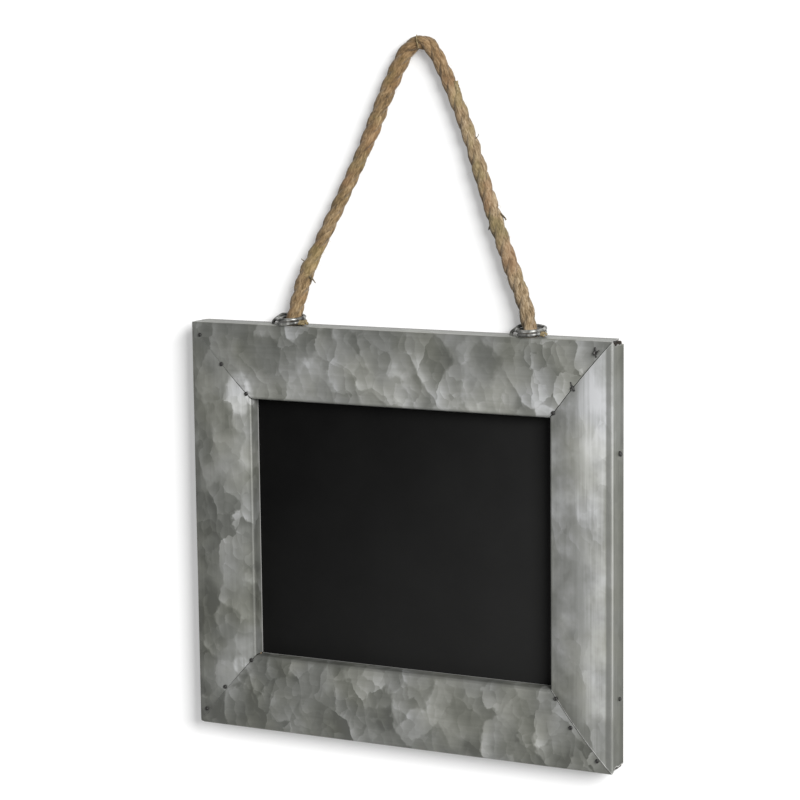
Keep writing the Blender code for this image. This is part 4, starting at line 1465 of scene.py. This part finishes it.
def plate(name):
    """A flat point: its driven tip at -X, its free end at +X, its flat sides facing Y."""
    bm = bmesh.new()
    corners = [(x * POINT_LENGTH, -POINT_THICKNESS / 2, z * POINT_WIDTH) for x, z in POINT_OUTLINE]
    face = bm.faces.new([bm.verts.new(corner) for corner in corners])
    pushed = bmesh.ops.extrude_face_region(bm, geom=[face])["geom"]
    moved = [part for part in pushed if isinstance(part, bmesh.types.BMVert)]
    bmesh.ops.translate(bm, verts=moved, vec=(0, POINT_THICKNESS, 0))
    bmesh.ops.recalc_face_normals(bm, faces=bm.faces)
    bmesh.ops.bevel(bm, geom=bm.edges, offset=POINT_BEVEL, segments=1, affect="EDGES")
    return from_bmesh(name, bm)


def point_tree():
    """Sets the plate at every point, its free end turned inwards."""
    tree, given = growing_tree("glaziers_points", Object=("Shape",))
    points = put("GeometryNodeMeshToPoints", {"Mesh": given["Geometry"]})
    set_copies(given, points, joined(0.0, stored(tree, "turn", "FLOAT"), 0.0))
    return tree


TURNS = {"right": 180.0, "left": 0.0, "top": 90.0, "bottom": -90.0}
ROLLED_STEEL = ((0.3, (0.20, 0.20, 0.20)), (0.7, (0.46, 0.46, 0.45)))
steel = speckled("plain_steel", 500.0, 3.0, ROLLED_STEEL, rough=(0.5, 0.35), Metallic=0.9)
point_nodes = sorted(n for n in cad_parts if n.startswith("point_"))
points = made("glaziers_points", [sum(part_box(node), Vector()) / 2 for node in point_nodes])
turns = points.data.attributes.new("turn", "FLOAT", "POINT")
for item, node in zip(turns.data, point_nodes):
    item.value = math.radians(TURNS[node.split("_")[1]])
shape = plate("plate")
grow(points, point_tree(), {"Shape": shape, "Material": steel})
bpy.data.objects.remove(shape)
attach(points, "board")
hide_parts(*point_nodes)
print("points:", len(point_nodes), "with", len(points.data.polygons), "faces")

# %% [markdown]
# ## Wooden bars
#
# The bars inside the sheet are the CAD model's own solids: their shape is right as it is, and only
# their backs show. They get the grain of sawn softwood, which runs along each bar. Their outer faces
# and their front parts get painted shade, since they are seen only in the narrow gaps at the open
# corners and in the pockets.

# %% Wood
ALONG_GRAIN, ACROSS_GRAIN, RING_COUNT, FINE_GRAIN = 5.0, 60.0, 9.0, 9
SOFTWOOD = ((0.2, (0.66, 0.47, 0.27)), (0.55, (0.52, 0.34, 0.18)), (0.9, (0.32, 0.19, 0.09)))
IN_THE_DARK = (0.02, 0.016, 0.012)


def wood_finish(name, scale):
    """Sawn softwood, its grain stretched by the scale, with painted shade where it lies against the sheet.
    """
    shader, room, mat = finish_of(name, Roughness=0.85, Specular_IOR_Level=0.25)
    rings = calc("FRACT", grain(stretched(room, scale), 1.0) * RING_COUNT)
    fine = grain(stretched(room, tuple(s * FINE_GRAIN for s in scale)), 1.0, 4.0, 0.6)
    colour = ramp(rings * 0.4 + fine * 0.7, *SOFTWOOD)
    x, y, z = split(room)
    past_side = calc("ABSOLUTE", x - CENTRE_X) - BOARD_WIDTH / 2
    past_end = calc("ABSOLUTE", z - CENTRE_Z) - BOARD_HEIGHT / 2
    outer = fade(calc("MAXIMUM", past_side, past_end), -0.0035, -0.0025)
    # painted shade on the outer faces and the front part, which are seen only in narrow gaps
    painted_shade = outer * fade(facing_wall(shader), 0.3, 0.7, 1.0, 0.0)
    painted_shade = calc("MAXIMUM", painted_shade, fade(y, -0.003, -0.001, 1.0, 0.0))
    feed(shader, Base_Color=tint(painted_shade, colour, IN_THE_DARK))
    bump(shader, fine, 0.35, 0.0003)
    return mat


wood_across = wood_finish("softwood_across", (ALONG_GRAIN, ACROSS_GRAIN, ACROSS_GRAIN))
wood_upright = wood_finish("softwood_upright", (ACROSS_GRAIN, ACROSS_GRAIN, ALONG_GRAIN))
for name in MEMBERS:
    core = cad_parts["core_" + name]
    core.data.materials.clear()
    core.data.materials.append(wood_upright if name in ("left", "right") else wood_across)
print("bars:", [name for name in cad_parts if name.startswith("core_")])
